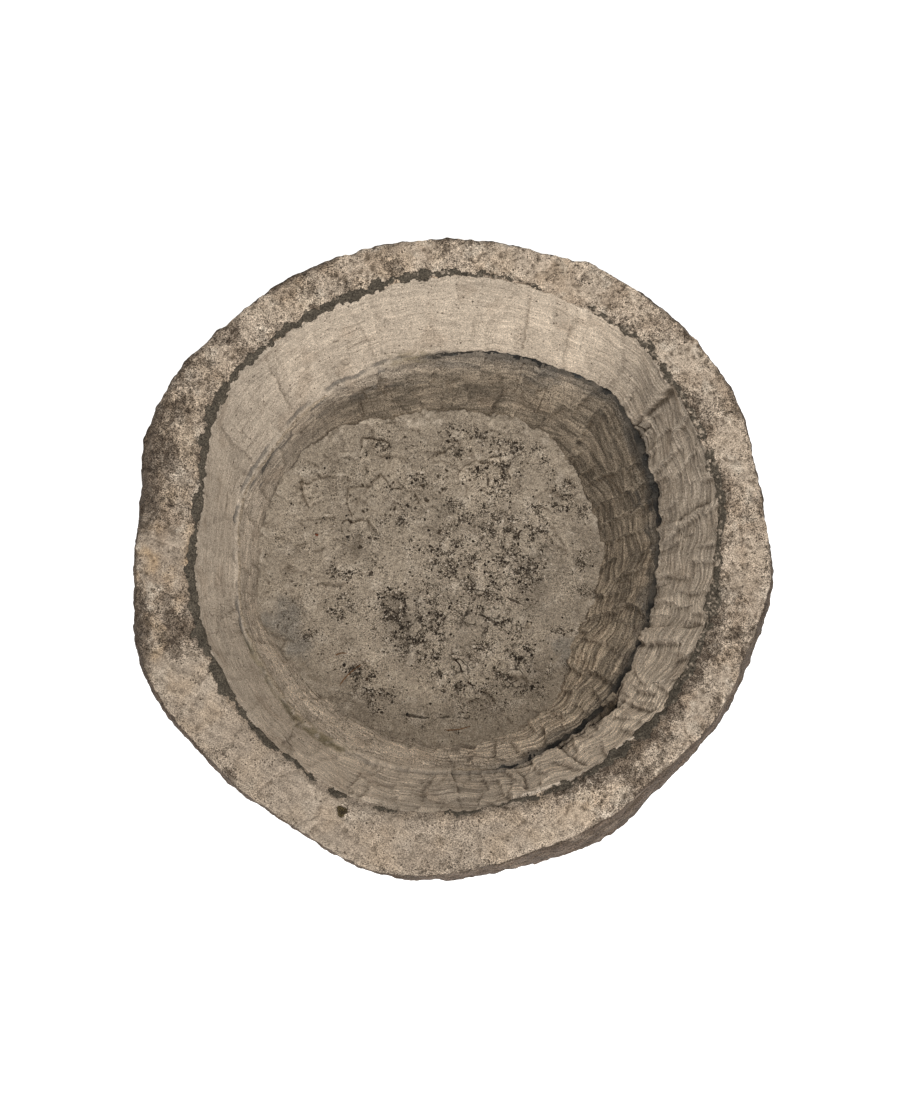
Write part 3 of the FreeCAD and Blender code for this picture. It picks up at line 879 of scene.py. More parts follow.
def ledge_seam(points):
    """The thin dark seam along the ledge where the parting is closed, and the olive growth round it."""
    flat = points * (1, 1, 0)
    run = np.linalg.norm(points - points[len(points) // 2], axis=-1)
    run = run * np.sign(np.arange(len(points)) - len(points) // 2)[:, None]
    off = np.abs(run + noises(flat[0], (0.0040, 0.03, 148), (0.0022, 0.007, 149)))
    shown = by_angle(SEAM) * (1 - by_angle(OPEN_PARTING)) * smooth(-0.45, 0.2, noise(flat[0], 0.02, 146))
    line = shown * smooth(1.6, 0.5, off / SEAM_WIDTH)
    grown = by_angle(OLIVE_SEAM) * smooth(-0.6, 0.2, noise(points, 0.008, 147))
    return line, grown * smooth(0.014, 0.003, off)


class Skin:
    """What the stone's grid of points carries: relief, colour, dark grains, stroke coordinates and wear."""

    def __init__(self, points):
        self.points = points
        self.lift = np.zeros(points.shape[:2])
        self.colour = np.broadcast_to(SIDE_STONE, points.shape).copy()
        self.density = np.full(points.shape[:2], PLAIN_DENSITY)
        self.grain = points.copy()
        self.wear = np.zeros(points.shape)

    def tint(self, rows, target, mask):
        """Moves the colour of some rows towards a target colour."""
        self.colour[rows] = blend(self.colour[rows], target, mask)


def dress_side(skin, span, wedge):
    """Tools and colours the outer side, dark where the rim's edge is broken."""
    side = span["side"]
    skin.lift[side], painted, skin.grain[side], skin.wear[side] = tool_side(skin.points[side])
    skin.colour[side] = shade_hollows(blend(painted, PATINA_AND_SHADE, 0.8 * wedge[side]), skin.lift[side])
    skin.density[side] = SIDE_DENSITY


def dress_rim(skin, span, wedge):
    """Tools and colours the rim and its bevel, scratched at the front."""
    top = slice(span["rim"].start, span["bevel"].stop)
    points = skin.points[top]
    skin.lift[top] = tool_rim(points)
    painted, skin.density[top] = rim_colour(points, wedge[top])
    skin.colour[top] = shade_hollows(painted, skin.lift[top])
    skin.grain[top] = turned(points, SCRATCH_HEADING)[..., [0, 2, 1]]
    skin.wear[top, :, 0] = 0.15 + 0.45 * (1 - by_angle(RIM_CALM))


def dress_upper(skin, span):
    """Tools and colours the upper wall, with its broken steps and the notch in its lip."""
    upper = span["upper"]
    points = skin.points[upper]
    skin.lift[upper], painted, skin.grain[upper], skin.wear[upper] = tool_wall(
        points, UPPER_STROKE, WALL_STONE, UPPER_TONE, UPPER_DEPTH, UPPER_VEINS, 100)
    sunk, foot = wall_steps(points)
    above_lip = np.clip((points[..., 2] - LIP_Z) / NOTCH_RUN, 0, 1)
    notch = by_angle(NOTCH) * (1 - smooth(0, 1, above_lip + 0.3 * noise(points, 0.01, 145)))
    skin.lift[upper] -= sunk + notch
    # Painted shade at the foot of each broken step and in the notch, darker the deeper they are
    painted = blend(painted, DIRT_AND_SHADE, np.clip(0.45 * foot + notch / NOTCH_FULL_SHADE, 0, 0.8))
    skin.colour[upper] = shade_hollows(painted, skin.lift[upper])


def dress_lower(skin, span):
    """Tools and colours the lower wall, which runs out into the silt at its foot."""
    lower = span["lower"]
    points = skin.points[lower]
    base = LOWER_STONE + (WALL_STONE - LOWER_STONE) * by_angle(LOWER_PALE)[:, None]
    skin.lift[lower], painted, skin.grain[lower], skin.wear[lower] = tool_wall(
        points, LOWER_STROKE, base, LOWER_TONE, LOWER_DEPTH, LOWER_VEINS, 150)
    skin.grain[lower, :, 2] /= by_angle(BED_SPACING)
    skin.wear[lower, :, 0] *= LOWER_WEAR
    skin.density[lower] = LOWER_DENSITY
    skin.colour[lower] = shade_hollows(painted, skin.lift[lower])
    above_silt = points[..., 2] - SILT_Z
    merged = 1 - smooth(0.1, 1, above_silt / MERGE_RUN + 0.5 * noise(points, 0.02, 195))
    skin.tint(lower, SILT, by_angle(MERGED) * merged)
    over_bank = above_silt - 0.8 * by_angle(BANK)
    foot = smooth(0.006, 0.002, over_bank + 0.002 * noise(points, 0.01, 193))
    skin.tint(lower, DIRT_AND_SHADE, 0.7 * by_angle(FOOT_LINE) * foot)


def dress_beds(skin, span):
    """Carries the upper wall's colour on below the closed parting, and adds dark beds under the ledge."""
    lower = span["lower"]
    points = skin.points[lower]
    grain = skin.grain[lower]
    gape = by_angle(OPEN_PARTING)
    below = np.linalg.norm(points - points[0], axis=-1)
    carried = (1 - gape) * smooth(PALE_RUN, 0.002, below + 0.008 * noise(points, 0.03, 196))
    skin.tint(lower, skin.colour[span["upper"]][-LIP_REACH:].mean(0), 0.85 * carried)
    beds = noise(along_ring(grain, 9), 0.0070, 197) + 0.5 * noise(along_ring(grain, 7), 0.0034, 198)
    near_ledge = smooth(STRATA_RUN, 0.008, below + 0.010 * noise(points, 0.03, 199))
    skin.tint(lower, SEAM_GREY, 0.8 * by_angle(STRATA) * near_ledge * smooth(0.2, 0.6, beds))
    smeared = gape * smooth(0.016, 0.003, below + 0.010 * noise(points, 0.015, 194))
    skin.tint(lower, SEAM_GREY, 0.5 * smeared)


def dress_parting(skin, span):
    """Colours the open parting between the walls, and draws the seam where it is closed."""
    step = slice(span["roof"].start, span["shelf"].stop)
    points = skin.points[step]
    skin.lift[step] = PARTING_ROUGH * rough(points, 0.012, 140, 3)
    share = np.linspace(0, 1, len(points))[:, None, None]
    lip_colour = skin.colour[span["upper"].stop - 1]
    ledge_colour = skin.colour[span["lower"].start]
    skin.colour[step] = lip_colour * (1 - share) + ledge_colour * share
    skin.tint(step, CLAY, by_angle(OPEN_PARTING) * (0.8 + 0.4 * rough(points, 0.02, 144)))
    seam = slice(span["roof"].start - SEAM_REACH, span["roof"].start + SEAM_REACH)
    line, growth = ledge_seam(skin.points[seam])
    skin.lift[seam] -= SEAM_DEPTH * line
    skin.tint(seam, SEAM_GREY, 0.85 * line)
    skin.tint(seam, OLIVE, 0.75 * growth)


def eased_joints(lift, span):
    """The relief, softened over the few rows where one zone meets the next."""
    joints = np.zeros(len(lift))
    for name in ("rim", "bevel", "upper"):
        joints[span[name].start - 2:span[name].start + 3] = 1
    return lift + (soften(lift, 1.0) - lift) * joints[:, None]


def build_stone(points, span):
    """The hewn block, displaced and coloured zone by zone."""
    wedge = np.zeros(points.shape[:2])
    wedge[span["side"].start:span["bevel"].stop] = drop_wedges(points, span)
    normal = grid_normals(points)
    skin = Skin(points)
    dress_side(skin, span, wedge)
    dress_rim(skin, span, wedge)
    dress_upper(skin, span)
    dress_lower(skin, span)
    dress_beds(skin, span)
    dress_parting(skin, span)
    shaped = points + normal * eased_joints(skin.lift, span)[..., None]
    stone = closed_grid("hewn_stone", shaped, (0, 0, BASE_Z), (0, 0, FLOOR_Z))
    paint(stone, with_centres(skin.colour), with_centres(skin.density[..., None])[:, 0])
    store_vector(stone, "Grain", with_centres(skin.grain))
    store_vector(stone, "Wear", with_centres(skin.wear))
    return stone, shaped


def shell(name, points, normal, inside, lift, depth):
    """Closed skin over the quads whose corners are all inside: lifted top, sunk underside and sides."""
    rows, steps = points.shape[:2]
    index = np.arange(rows * steps).reshape(rows, steps)
    after = np.roll(index, -1, 1)
    beside = np.roll(inside, -1, 1)
    keep = inside[:-1] & inside[1:] & beside[:-1] & beside[1:]
    quads = np.stack([index[:-1], after[:-1], after[1:], index[1:]], -1)[keep]
    used, flat = np.unique(quads.ravel(), return_inverse=True)
    quads = flat.reshape(-1, 4)
    top = (points + normal * lift[..., None]).reshape(-1, 3)[used]
    under = (points - normal * depth).reshape(-1, 3)[used]
    count = len(used)
    edges = np.concatenate([quads[:, [i, (i + 1) % 4]] for i in range(4)])
    key = np.sort(edges, 1) @ np.array([count, 1])
    _, where, uses = np.unique(key, return_index=True, return_counts=True)
    border = edges[where[uses == 1]]
    sides = np.stack([border[:, 1], border[:, 0], border[:, 0] + count, border[:, 1] + count], -1)
    faces = np.concatenate([quads, quads[:, ::-1] + count, sides])
    made = new_object(name, np.concatenate([top, under]), [faces])
    return made, used


# Arcs of crust and clay: start and sweep in degrees
CRUST_ARCS = [(266, 156), (70, 170), (242, 5), (252, 7)]
CLAY_ARCS = [(270, 195), (125, 105)]
# Half width of the crust, and how little pale stone shows through it
CRUST_HALF_WIDTH = [(0, 0.0060), (20, 0.0054), (45, 0.0050), (60, 0.0030), (72, 0.0016), (86, 0.0026),
                    (94, 0.0050), (110, 0.0058), (125, 0.0046), (140, 0.0052), (160, 0.0062),
                    (185, 0.0064), (200, 0.0080), (215, 0.0074), (228, 0.0040), (240, 0.0026),
                    (245, 0.0042), (255, 0.0036), (268, 0.0018), (285, 0.0022), (300, 0.0046),
                    (315, 0.0070), (335, 0.0070)]
CRUST_SOLID = [(0, 0.45), (60, 0.4), (75, 0.4), (100, 0.7), (150, 0.8), (165, 1.0), (225, 1.0),
               (240, 0.7), (280, 0.7), (300, 0.9), (322, 0.9), (335, 0.5)]
# How far the crust and the clay stand out from the stone, and how deep they are set in it
CRUST_EDGE = 0.0004
CRUST_SWELL = 0.0006
CRUST_GRAIN = 0.0003
CRUST_SINK = 0.0008
CLAY_LIFT = 0.0008
CLAY_GRAIN = 0.0006
CLAY_SINK = 0.0005


def in_arcs(arcs, feather):
    """1 inside any of the arcs (start, sweep in degrees), fading to 0 at their ends."""
    best = np.zeros(STEPS)
    for start, sweep in arcs:
        offset = (DEGREES - start) % 360
        inside = np.minimum(offset, sweep - offset)
        best = np.maximum(best, np.clip(inside / feather, 0, 1))
    return best


def build_crust(points, span):
    """Dark weathering crust along the mouth's arris, with ragged edges and pale grains showing through."""
    band = slice(span["bevel"].start - 6, span["upper"].start + 8)
    skin = points[band]
    normal = grid_normals(points)[band]
    flat = skin[0] * (1, 1, 0)
    middle = 0.52 * len(skin) + 1.6 * noise(flat, 0.04, 200)
    uneven = 1 + noises(flat, (0.8, 0.012, 201), (0.7, 0.035, 208))
    half = by_angle(CRUST_HALF_WIDTH) / FINE_ROW * uneven * in_arcs(CRUST_ARCS, 1.5)
    ragged_by = noises(skin, (0.0034, 0.007, 202), (0.0024, 0.0032, 203))
    row = np.arange(len(skin))[:, None] + ragged_by / FINE_ROW
    inside = 1 - np.abs(row - middle) / np.maximum(half, 0.01)
    lift = CRUST_EDGE + CRUST_SWELL * smooth(0, 0.5, inside) + CRUST_GRAIN * noise(skin, 0.004, 204)
    crust, used = shell("weathering_crust", skin, normal, inside > 0, lift, CRUST_SINK)
    colour = toned(CRUST, 1 + 0.22 * rough(skin, 0.01, 205, 4))
    bare = noises(skin, (0.7, 0.0028, 206), (0.5, 0.006, 207)) - by_angle(CRUST_SOLID)
    colour = blend(colour, RIM_STONE, 0.8 * smooth(-0.35, 0.0, bare))
    colour = colour.reshape(-1, 3)[used]
    paint(crust, np.concatenate([colour, colour]))
    return crust


def build_clay(points, span):
    """Blue-black clay in the open parting, ragged where it spills over the ledge."""
    band = slice(span["back"].start, span["shelf"].stop)
    skin = points[band]
    normal = grid_normals(points)[band]
    row = np.arange(len(skin))[:, None] / len(skin)
    limit = 0.65 + 0.5 * noise(skin[0] * (1, 1, 0), 0.016, 211)
    inside = (row < limit * in_arcs(CLAY_ARCS, 2.0)) & (noise(skin, 0.005, 212) < 0.45)
    lift = CLAY_LIFT + CLAY_GRAIN * noise(skin, 0.005, 213)
    clay, used = shell("parting_fill", skin, normal, inside, lift, CLAY_SINK)
    colour = toned(CLAY, 1 + 0.3 * rough(skin, 0.012, 214, 4))
    colour = blend(colour, BLUE_GREY, 0.22 * smooth(0, 0.6, rough(skin, 0.015, 218, 3)))
    stone_here = toned(LOWER_STONE, by_angle(UPPER_TONE))
    colour = blend(colour, stone_here, smooth(0.6, 0.1, by_angle(OPEN_PARTING)))
    colour = colour.reshape(-1, 3)[used]
    paint(clay, np.concatenate([colour, colour]))
    return clay


SILT_CENTRE = (-0.023, 0.008)
SILT_TUCK = 0.009
# Height to which the silt is banked up against the wall, by angle, and the width of the bank
BANK = [(0, 0.003), (60, 0.003), (130, 0.004), (150, 0.010), (180, 0.012), (250, 0.012), (285, 0.009),
        (310, 0.004)]
BANK_RUN = 0.026
# Cracked, gritty, pitted and chiselled places of the floor: x, y and radius
CRACKED = [(0.040, -0.040, 0.056), (0.055, -0.105, 0.040), (0.015, -0.070, 0.036),
           (0.080, 0.015, 0.036), (0.020, 0.030, 0.030), (-0.022, -0.045, 0.040),
           (0.000, -0.105, 0.030)]
GRITTY = [(0.000, 0.156, 0.016), (0.026, 0.154, 0.012), (0.056, 0.140, 0.015), (0.094, 0.136, 0.013),
          (0.120, 0.093, 0.016), (0.140, 0.070, 0.011), (0.050, 0.110, 0.028), (0.009, 0.075, 0.020),
          (0.048, 0.053, 0.028), (0.091, 0.057, 0.018), (-0.003, 0.012, 0.036), (0.070, 0.010, 0.030),
          (0.018, -0.014, 0.030), (-0.054, -0.042, 0.036), (-0.022, -0.046, 0.024),
          (-0.030, -0.078, 0.022), (-0.118, 0.002, 0.013), (-0.084, 0.008, 0.010),
          (-0.118, -0.031, 0.015), (-0.155, -0.062, 0.010), (-0.105, -0.103, 0.018),
          (-0.078, -0.127, 0.020), (0.057, -0.051, 0.012), (0.120, -0.055, 0.013),
          (0.031, -0.078, 0.015), (0.075, -0.079, 0.015), (0.040, -0.110, 0.017),
          (-0.003, -0.119, 0.016), (0.146, 0.020, 0.012), (0.147, -0.020, 0.011),
          (0.138, -0.062, 0.012), (0.118, -0.098, 0.012), (0.086, -0.124, 0.012),
          (-0.020, -0.097, 0.011), (-0.060, 0.060, 0.020), (-0.078, 0.140, 0.010),
          (-0.040, 0.110, 0.012)]
PITTED = [(-0.057, 0.106, 0.060), (-0.095, 0.060, 0.050), (0.008, 0.130, 0.050), (0.060, 0.140, 0.036),
          (-0.020, 0.060, 0.040)]
CHISELLED = [(-0.090, 0.100, 0.085), (-0.150, 0.020, 0.055), (0.010, 0.140, 0.050),
             (0.110, 0.060, 0.045), (0.060, -0.130, 0.045)]
BLUISH = [(-0.179, -0.046, 0.022), (-0.165, -0.075, 0.018), (0.124, -0.080, 0.015)]
# Plates of silt that stand up, and damp and dusty places: x, y and radius
CHUNKS = [(0.026, 0.113, 0.018), (0.070, 0.118, 0.011), (-0.004, 0.136, 0.010)]
DAMP = [(0.097, 0.008, 0.030), (0.080, -0.045, 0.026), (-0.050, -0.040, 0.034), (-0.023, 0.128, 0.032),
        (-0.023, 0.063, 0.026), (-0.090, 0.060, 0.050)]
DUSTY = [(0.037, 0.112, 0.030), (-0.023, -0.112, 0.030), (0.037, -0.096, 0.036),
         (-0.083, -0.096, 0.026), (0.075, -0.061, 0.024), (0.032, 0.008, 0.018)]
# Long cracks in the silt, as lines of points
LONG_CRACKS = [[(0.018, -0.0115), (0.034, -0.015), (0.052, -0.019), (0.0726, -0.0278)],
               [(-0.056, -0.147), (-0.030, -0.151), (0.000, -0.150), (0.027, -0.152)],
               [(0.030, -0.040), (0.046, -0.048), (0.060, -0.046), (0.078, -0.056)]]
CRACK_WIDTH = 0.0011
# Chisel scoops in the floor: length and width, depth and heading
SCOOP = (0.034, 0.027)
SCOOP_DEPTH = 0.0046
SCOOP_HEADING = math.radians(72)
# So many strokes in a row that they never come round again
NO_WRAP = 10 ** 6
# Small steps in the floor: start, stop and height
FLOOR_STEPS = [((-0.066, 0.147), (-0.097, 0.153), 0.0032), ((-0.163, 0.102), (-0.157, 0.080), 0.0032),
               ((-0.114, 0.096), (-0.109, 0.064), 0.0030), ((-0.056, 0.093), (-0.078, 0.111), 0.0030),
               ((-0.041, 0.095), (-0.032, 0.072), 0.0028), ((-0.090, 0.062), (-0.118, 0.058), 0.0026)]
STEP_WANDER = 0.004
PIT_SPACING = 0.0065
PIT_RADIUS = 0.0013
PIT_DEPTH = 0.0012
# Relief of the silt: lumps, fine lumps, standing plates, grit and the rough strip along the wall
SILT_LUMP = 0.0012
SILT_FINE = 0.0005
CHUNK_HEIGHT = 0.0018
GRIT_LUMP = 0.0007
STRIP_ROUGH = 0.0026
STRIP_RUN = (0.024, 0.010)


def bent_places(flat):
    """Places on the floor, drifted so that patches on them get ragged outlines."""
    return flat + 0.014 * plan_drift(flat, 0.03, (300, 304))


def pits_on(flat):
    """Small round pits, thickest in the pitted places: 1 in a pit."""
    u = flat[..., 0] / PIT_SPACING + 0.8 * noise(flat, 0.016, 336)
    v = flat[..., 1] / PIT_SPACING + 0.8 * noise(flat, 0.016, 337)
    nearest, number = cells(u, v, 340)
    nearest = nearest + 0.10 * noise(flat, 0.0022, 338)
    radius = PIT_RADIUS / PIT_SPACING * (0.35 + 1.3 * (7.3 * number % 1) ** 3)
    there = number < 0.10 + 0.35 * patches(flat, PITTED)
    return there * (1 - smooth(0.7, 1.1, nearest / radius))


def floor_scoops(flat):
    """Chisel scoops in the floor: their depth, and how near the step at a scoop's end each place is."""
    along = flat[..., 0] * math.cos(SCOOP_HEADING) + flat[..., 1] * math.sin(SCOOP_HEADING)
    across = flat[..., 1] * math.cos(SCOOP_HEADING) - flat[..., 0] * math.sin(SCOOP_HEADING)
    u = along / SCOOP[0] + 0.35 * noise(flat, 0.03, 305) + 0.06 * noise(flat, 0.006, 306)
    v = across / SCOOP[1] + 0.35 * noise(flat, 0.03, 310) + 0.06 * noise(flat, 0.006, 311)
    depth, _, run = strokes(u, v, 309, NO_WRAP)
    there = 0.25 + 0.75 * patches(flat, CHISELLED)
    return SCOOP_DEPTH * depth * there, np.exp(-np.abs(run) / 0.05) * there


def silt_relief(flat):
    """Height of the floor's lumps, chisel scoops, steps and plates over the CAD silt."""
    height = SILT_LUMP * noise(flat, 0.07, 307) + SILT_LUMP * rough(flat, 0.022, 308, 5, 0.6)
    height += 0.4 * SCOOP_DEPTH - floor_scoops(flat)[0]
    height += line_steps(flat + STEP_WANDER * plan_drift(flat, 0.012, (314, 315), 1), FLOOR_STEPS)
    bent = bent_places(flat)
    height += SILT_FINE * rough(flat, 0.005, 313, 3, 0.6) + CHUNK_HEIGHT * patches(bent, CHUNKS, (0.90, 1.04))
    return height + GRIT_LUMP * patches(bent, GRITTY) * noise(flat, 0.004, 312)


def cad_height(tree, flat):
    """Height of a CAD node's top under each place."""
    down = Vector((0, 0, -1))
    spots = flat.reshape(-1, 3)
    height = np.full(len(spots), SILT_Z)
    for i, (x, y, _) in enumerate(spots):
        hit = tree.ray_cast(Vector((x, y, RIM_Z)), down)[0]
        if hit is not None:
            height[i] = hit.z
    return height.reshape(flat.shape[:-1])


SILT_TREE = cad_tree("floor_silt")


def silt_top(places):
    """Height of the finished silt under each place."""
    flat = np.asarray(places, float) * (1, 1, 0)
    return cad_height(SILT_TREE, flat) + silt_relief(flat)


def silt_boundary(tree):
    """Ring where the silt meets the wall, tucked into the stone."""
    angle = np.arange(SILT_STEPS) * (2 * math.pi / SILT_STEPS)
    ring = probe_ring(tree, SILT_Z - PROBE, False, np.cos(angle), np.sin(angle))
    return pushed(at_height(ring, SILT_Z), SILT_TUCK)


def grit_cloud(flat):
    """How thick grit lies on the silt, in ragged patches."""
    return patches(bent_places(flat), GRITTY, (0.3, 1.4)) * smooth(-0.4, 0.3, rough(flat, 0.012, 331, 3))


def silt_colour(flat, pits, bank):
    """Pale dried silt with grey and brown clouds and black pits, and how thick its dark grains lie."""
    colour = toned(SILT, 1 + 0.12 * rough(flat, 0.05, 320, 5))
    colour = blend(colour, SILT_DARK, 0.35 * smooth(0.0, 0.7, rough(flat, 0.04, 325, 5)))
    colour = blend(colour, PALE_STONE, 0.45 * smooth(0.1, 0.7, rough(flat, 0.018, 328, 4)))
    cloud = grit_cloud(flat)
    colour = blend(colour, SILT_DARK, 0.40 * cloud)
    bent = bent_places(flat)
    colour = toned(colour, 1 + 0.20 * patches(bent, DUSTY) - 0.13 * patches(bent, DAMP))
    colour = blend(colour, BLUE_GREY, 0.35 * patches(bent, BLUISH))
    edge = floor_scoops(flat)[1] * smooth(-0.3, 0.4, noise(flat, 0.012, 332))
    colour = blend(colour, DIRT_AND_SHADE, 0.7 * edge)
    wander = noises(flat, (0.0022, 0.012, 334), (0.0010, 0.004, 335))
    for line in LONG_CRACKS:
        crack = smooth(CRACK_WIDTH, 0.3 * CRACK_WIDTH, from_line(flat, line) + wander)
        colour = blend(colour, BLACK_SPECK, 0.8 * crack)
    colour = blend(colour, BLACK_SPECK, 0.85 * pits)
    density = 0.10 + 0.14 * rough(flat, 0.03, 333, 3) + 0.42 * cloud - 0.1 * bank
    return colour, np.clip(density, 0.02, 0.6)


def silt_bank(flat, from_edge):
    """Where the silt is banked up against the wall, from 0 to 1, and its height there."""
    degrees = np.arange(SILT_STEPS) * 360 / SILT_STEPS
    height = np.interp(degrees, *zip(*BANK), period=360)
    bank = smooth(BANK_RUN, 0.004, from_edge + 0.007 * noise(flat, 0.02, 341))
    return bank, height * bank * (0.8 + 0.5 * noise(flat, 0.025, 342))


def silt_wear(flat):
    """Thin cracks and mud cracks of the silt's top."""
    wear = np.zeros(flat.shape)
    wear[..., 1] = 0.5 * smooth(0.0, 0.6, rough(flat, 0.03, 344, 3))
    cracked = patches(bent_places(flat), CRACKED, (0.3, 1.3))
    wear[..., 2] = cracked * smooth(-0.5, 0.3, rough(flat, 0.02, 343, 3))
    return wear


def build_silt(tree):
    """Dried silt bed with mud cracks, pits and chisel scoops, banked up against the wall."""
    edge = silt_boundary(tree)
    centre = np.array([*SILT_CENTRE, SILT_Z])
    inner = centre + (edge - centre) * 0.01
    top = np.concatenate([edge[None], leg(edge, inner, SILT_ROW)])
    flat = top * (1, 1, 0)
    pits = pits_on(flat)
    from_edge = np.linalg.norm(flat - flat[0], axis=-1)
    bank, bank_height = silt_bank(flat, from_edge)
    relief = silt_relief(flat) - PIT_DEPTH * pits
    top[..., 2] = cad_height(SILT_TREE, flat) + relief + bank_height
    top[..., 2] += STRIP_ROUGH * smooth(*STRIP_RUN, from_edge) * rough(flat, 0.011, 345, 3)
    under_inner = at_height(inner, FLOOR_Z)
    under = np.concatenate([under_inner[None], leg(under_inner, at_height(edge, FLOOR_Z), HIDDEN_ROW)])
    everything = np.concatenate([under, top])
    high_centre = (*SILT_CENTRE, top[-1, :, 2].mean())
    silt = closed_grid("dried_silt", everything, (*SILT_CENTRE, FLOOR_Z), high_centre)
    colour, density = silt_colour(flat, pits, bank)
    colour = np.concatenate([np.broadcast_to(SILT_DARK, under.shape), shade_hollows(colour, relief)])
    density = np.concatenate([np.zeros(under.shape[:2]), density])[..., None]
    paint(silt, with_centres(colour), with_centres(density)[:, 0])
    store_vector(silt, "Grain", with_centres(everything))
    store_vector(silt, "Wear", with_centres(np.concatenate([np.zeros(under.shape), silt_wear(flat)])))
    return silt


def gather(parts):
    """One set of points, quads and triangles from several."""
    points = []
    quads = []
    triangles = []
    count = 0
    for part_points, part_quads, part_triangles in parts:
        points.append(part_points)
        quads.append(part_quads + count)
        triangles.append(part_triangles + count)
        count += len(part_points)
    return np.concatenate(points), [np.concatenate(quads), np.concatenate(triangles)]


NO_QUADS = np.zeros((0, 4), int)


def ball(subdivisions):
    """Points and triangles of a unit ball."""
    shape = bmesh.new()
    bmesh.ops.create_icosphere(shape, subdivisions=subdivisions, radius=1.0)
    points = np.array([v.co[:] for v in shape.verts])
    triangles = np.array([[v.index for v in f.verts] for f in shape.faces])
    shape.free()
    return points, triangles


def tube(path, radii, sides=8):
    """Points and faces of a closed round stalk along a path."""
    ahead = np.gradient(path, axis=0)
    ahead /= np.linalg.norm(ahead, axis=1)[:, None]
    side = np.cross(ahead, (0, 0, 1))
    side /= np.linalg.norm(side, axis=1)[:, None]
    above = np.cross(side, ahead)
    angle = np.arange(sides) * 2 * math.pi / sides
    ring = np.cos(angle)[:, None] * side[:, None] + np.sin(angle)[:, None] * above[:, None]
    rings = path[:, None] + radii[:, None, None] * ring
    rows = len(path)
    index = np.arange(rows * sides).reshape(rows, sides)
    after = np.roll(index, -1, 1)
    quads = np.stack([index[:-1], index[1:], after[1:], after[:-1]], -1).reshape(-1, 4)
    first = np.full(sides, rows * sides)
    first_fan = np.stack([first, index[0], after[0]], -1)
    last_fan = np.stack([first + 1, after[-1], index[-1]], -1)
    points = np.concatenate([rings.reshape(-1, 3), path[:1], path[-1:]])
    return points, quads, np.concatenate([first_fan, last_fan])


def lying_path(start, stop, count, bend, radius, seed):
    """Path of a stalk that lies on the silt from start to stop and bends a little on the way."""
    share = np.linspace(0, 1, count)[:, None]
    path = np.zeros((count, 3))
    run = np.array(stop) - np.array(start)
    path[:, :2] = np.array(start) + run * share
    path[:, :2] += np.array([-run[1], run[0]]) * bend * np.sin(math.pi * share)
    rng = np.random.default_rng(seed)
    path[:, :2] += rng.normal(0, 0.1 * radius, (count, 2))
    height = silt_top(path)
    path[:, 2] = np.maximum(height, height.mean()) + 0.8 * radius
    return path


STRAW_RADIUS = 0.0007
STRAW_POINTS = 16
STRAW_TAPER = 0.35
# Every how many points a straw has a joint, and how much that swells it
STRAW_JOINT = 5
STRAW_SWELL = 1.25
# Straws and twigs: start, stop and how far they bend
STRAWS = [((-0.1215, -0.1180), (-0.0975, -0.0940), 0.06),
          ((-0.0080, -0.1640), (0.0190, -0.1600), -0.05),
          ((-0.1245, -0.0838), (-0.1130, -0.0820), 0.10)]
TWIG_RADIUS = 0.0010
TWIG_POINTS = 14
BRANCH_RADIUS = 0.5 * TWIG_RADIUS
BRANCH_POINTS = 8
TWIGS = [((0.0025, -0.0885), (0.0105, -0.1020), 0.10), ((0.0165, -0.1130), (0.0250, -0.1172), -0.08),
         ((0.0712, 0.0425), (0.0745, 0.0515), 0.12)]
STRAW_COLOUR = srgb(122, 92, 66)
TWIG_COLOUR = srgb(56, 46, 38)


def stalk_colour(points, colour, seed):
    """Colour of a dry stalk, streaked and darker in places."""
    return toned(colour, 1 + 0.35 * rough(points, 0.004, seed, 3))


def build_straws():
    """Thin straw ends with swollen joints, lying on the silt."""
    parts = []
    for number, (start, stop, bend) in enumerate(STRAWS):
        path = lying_path(start, stop, STRAW_POINTS, bend, STRAW_RADIUS, 400 + number)
        radii = STRAW_RADIUS * (1 - STRAW_TAPER * np.linspace(0, 1, STRAW_POINTS))
        radii[::STRAW_JOINT] *= STRAW_SWELL
        parts.append(tube(path, radii))
    points, faces = gather(parts)
    straws = new_object("dry_straws", points, faces)
    paint(straws, stalk_colour(points, STRAW_COLOUR, 410))
    return straws


def build_twigs():
    """Short knotty twigs on the silt, each with one side branch."""
    parts = []
    for number, (start, stop, bend) in enumerate(TWIGS):
        path = lying_path(start, stop, TWIG_POINTS, bend, TWIG_RADIUS, 420 + number)
        rng = np.random.default_rng(430 + number)
        knots = 1 + 0.12 * rng.normal(size=TWIG_POINTS)
        parts.append(tube(path, TWIG_RADIUS * np.linspace(1, 0.5, TWIG_POINTS) * knots))
        fork = path[TWIG_POINTS // 2]
        run = np.array(stop) - np.array(start)
        tip = fork[:2] + 0.45 * run + 0.35 * np.array([run[1], -run[0]])
        branch = lying_path(fork[:2], tip, BRANCH_POINTS, 0.1, BRANCH_RADIUS, 440 + number)
        branch[0] = fork
        parts.append(tube(branch, BRANCH_RADIUS * np.linspace(1, 0.5, BRANCH_POINTS), sides=6))
    points, faces = gather(parts)
    twigs = new_object("dark_twigs", points, faces)
    paint(twigs, stalk_colour(points, TWIG_COLOUR, 450))
    return twigs


SEED_HALF = (0.0021, 0.0013, 0.0013)
SEED_RIBS = 7
# Seeds: x, y and heading in degrees
SEEDS = [(-0.0910, -0.1098, 240), (-0.1127, 0.0433, 159), (-0.0479, 0.0776, 109),
         (-0.0894, 0.0426, 153), (-0.1460, 0.0464, 163), (-0.0481, -0.1474, 261)]
SEED_COLOURS = [srgb(64, 50, 38), srgb(44, 38, 32), srgb(48, 40, 33), srgb(58, 46, 36),
                srgb(112, 62, 40), srgb(36, 31, 27)]


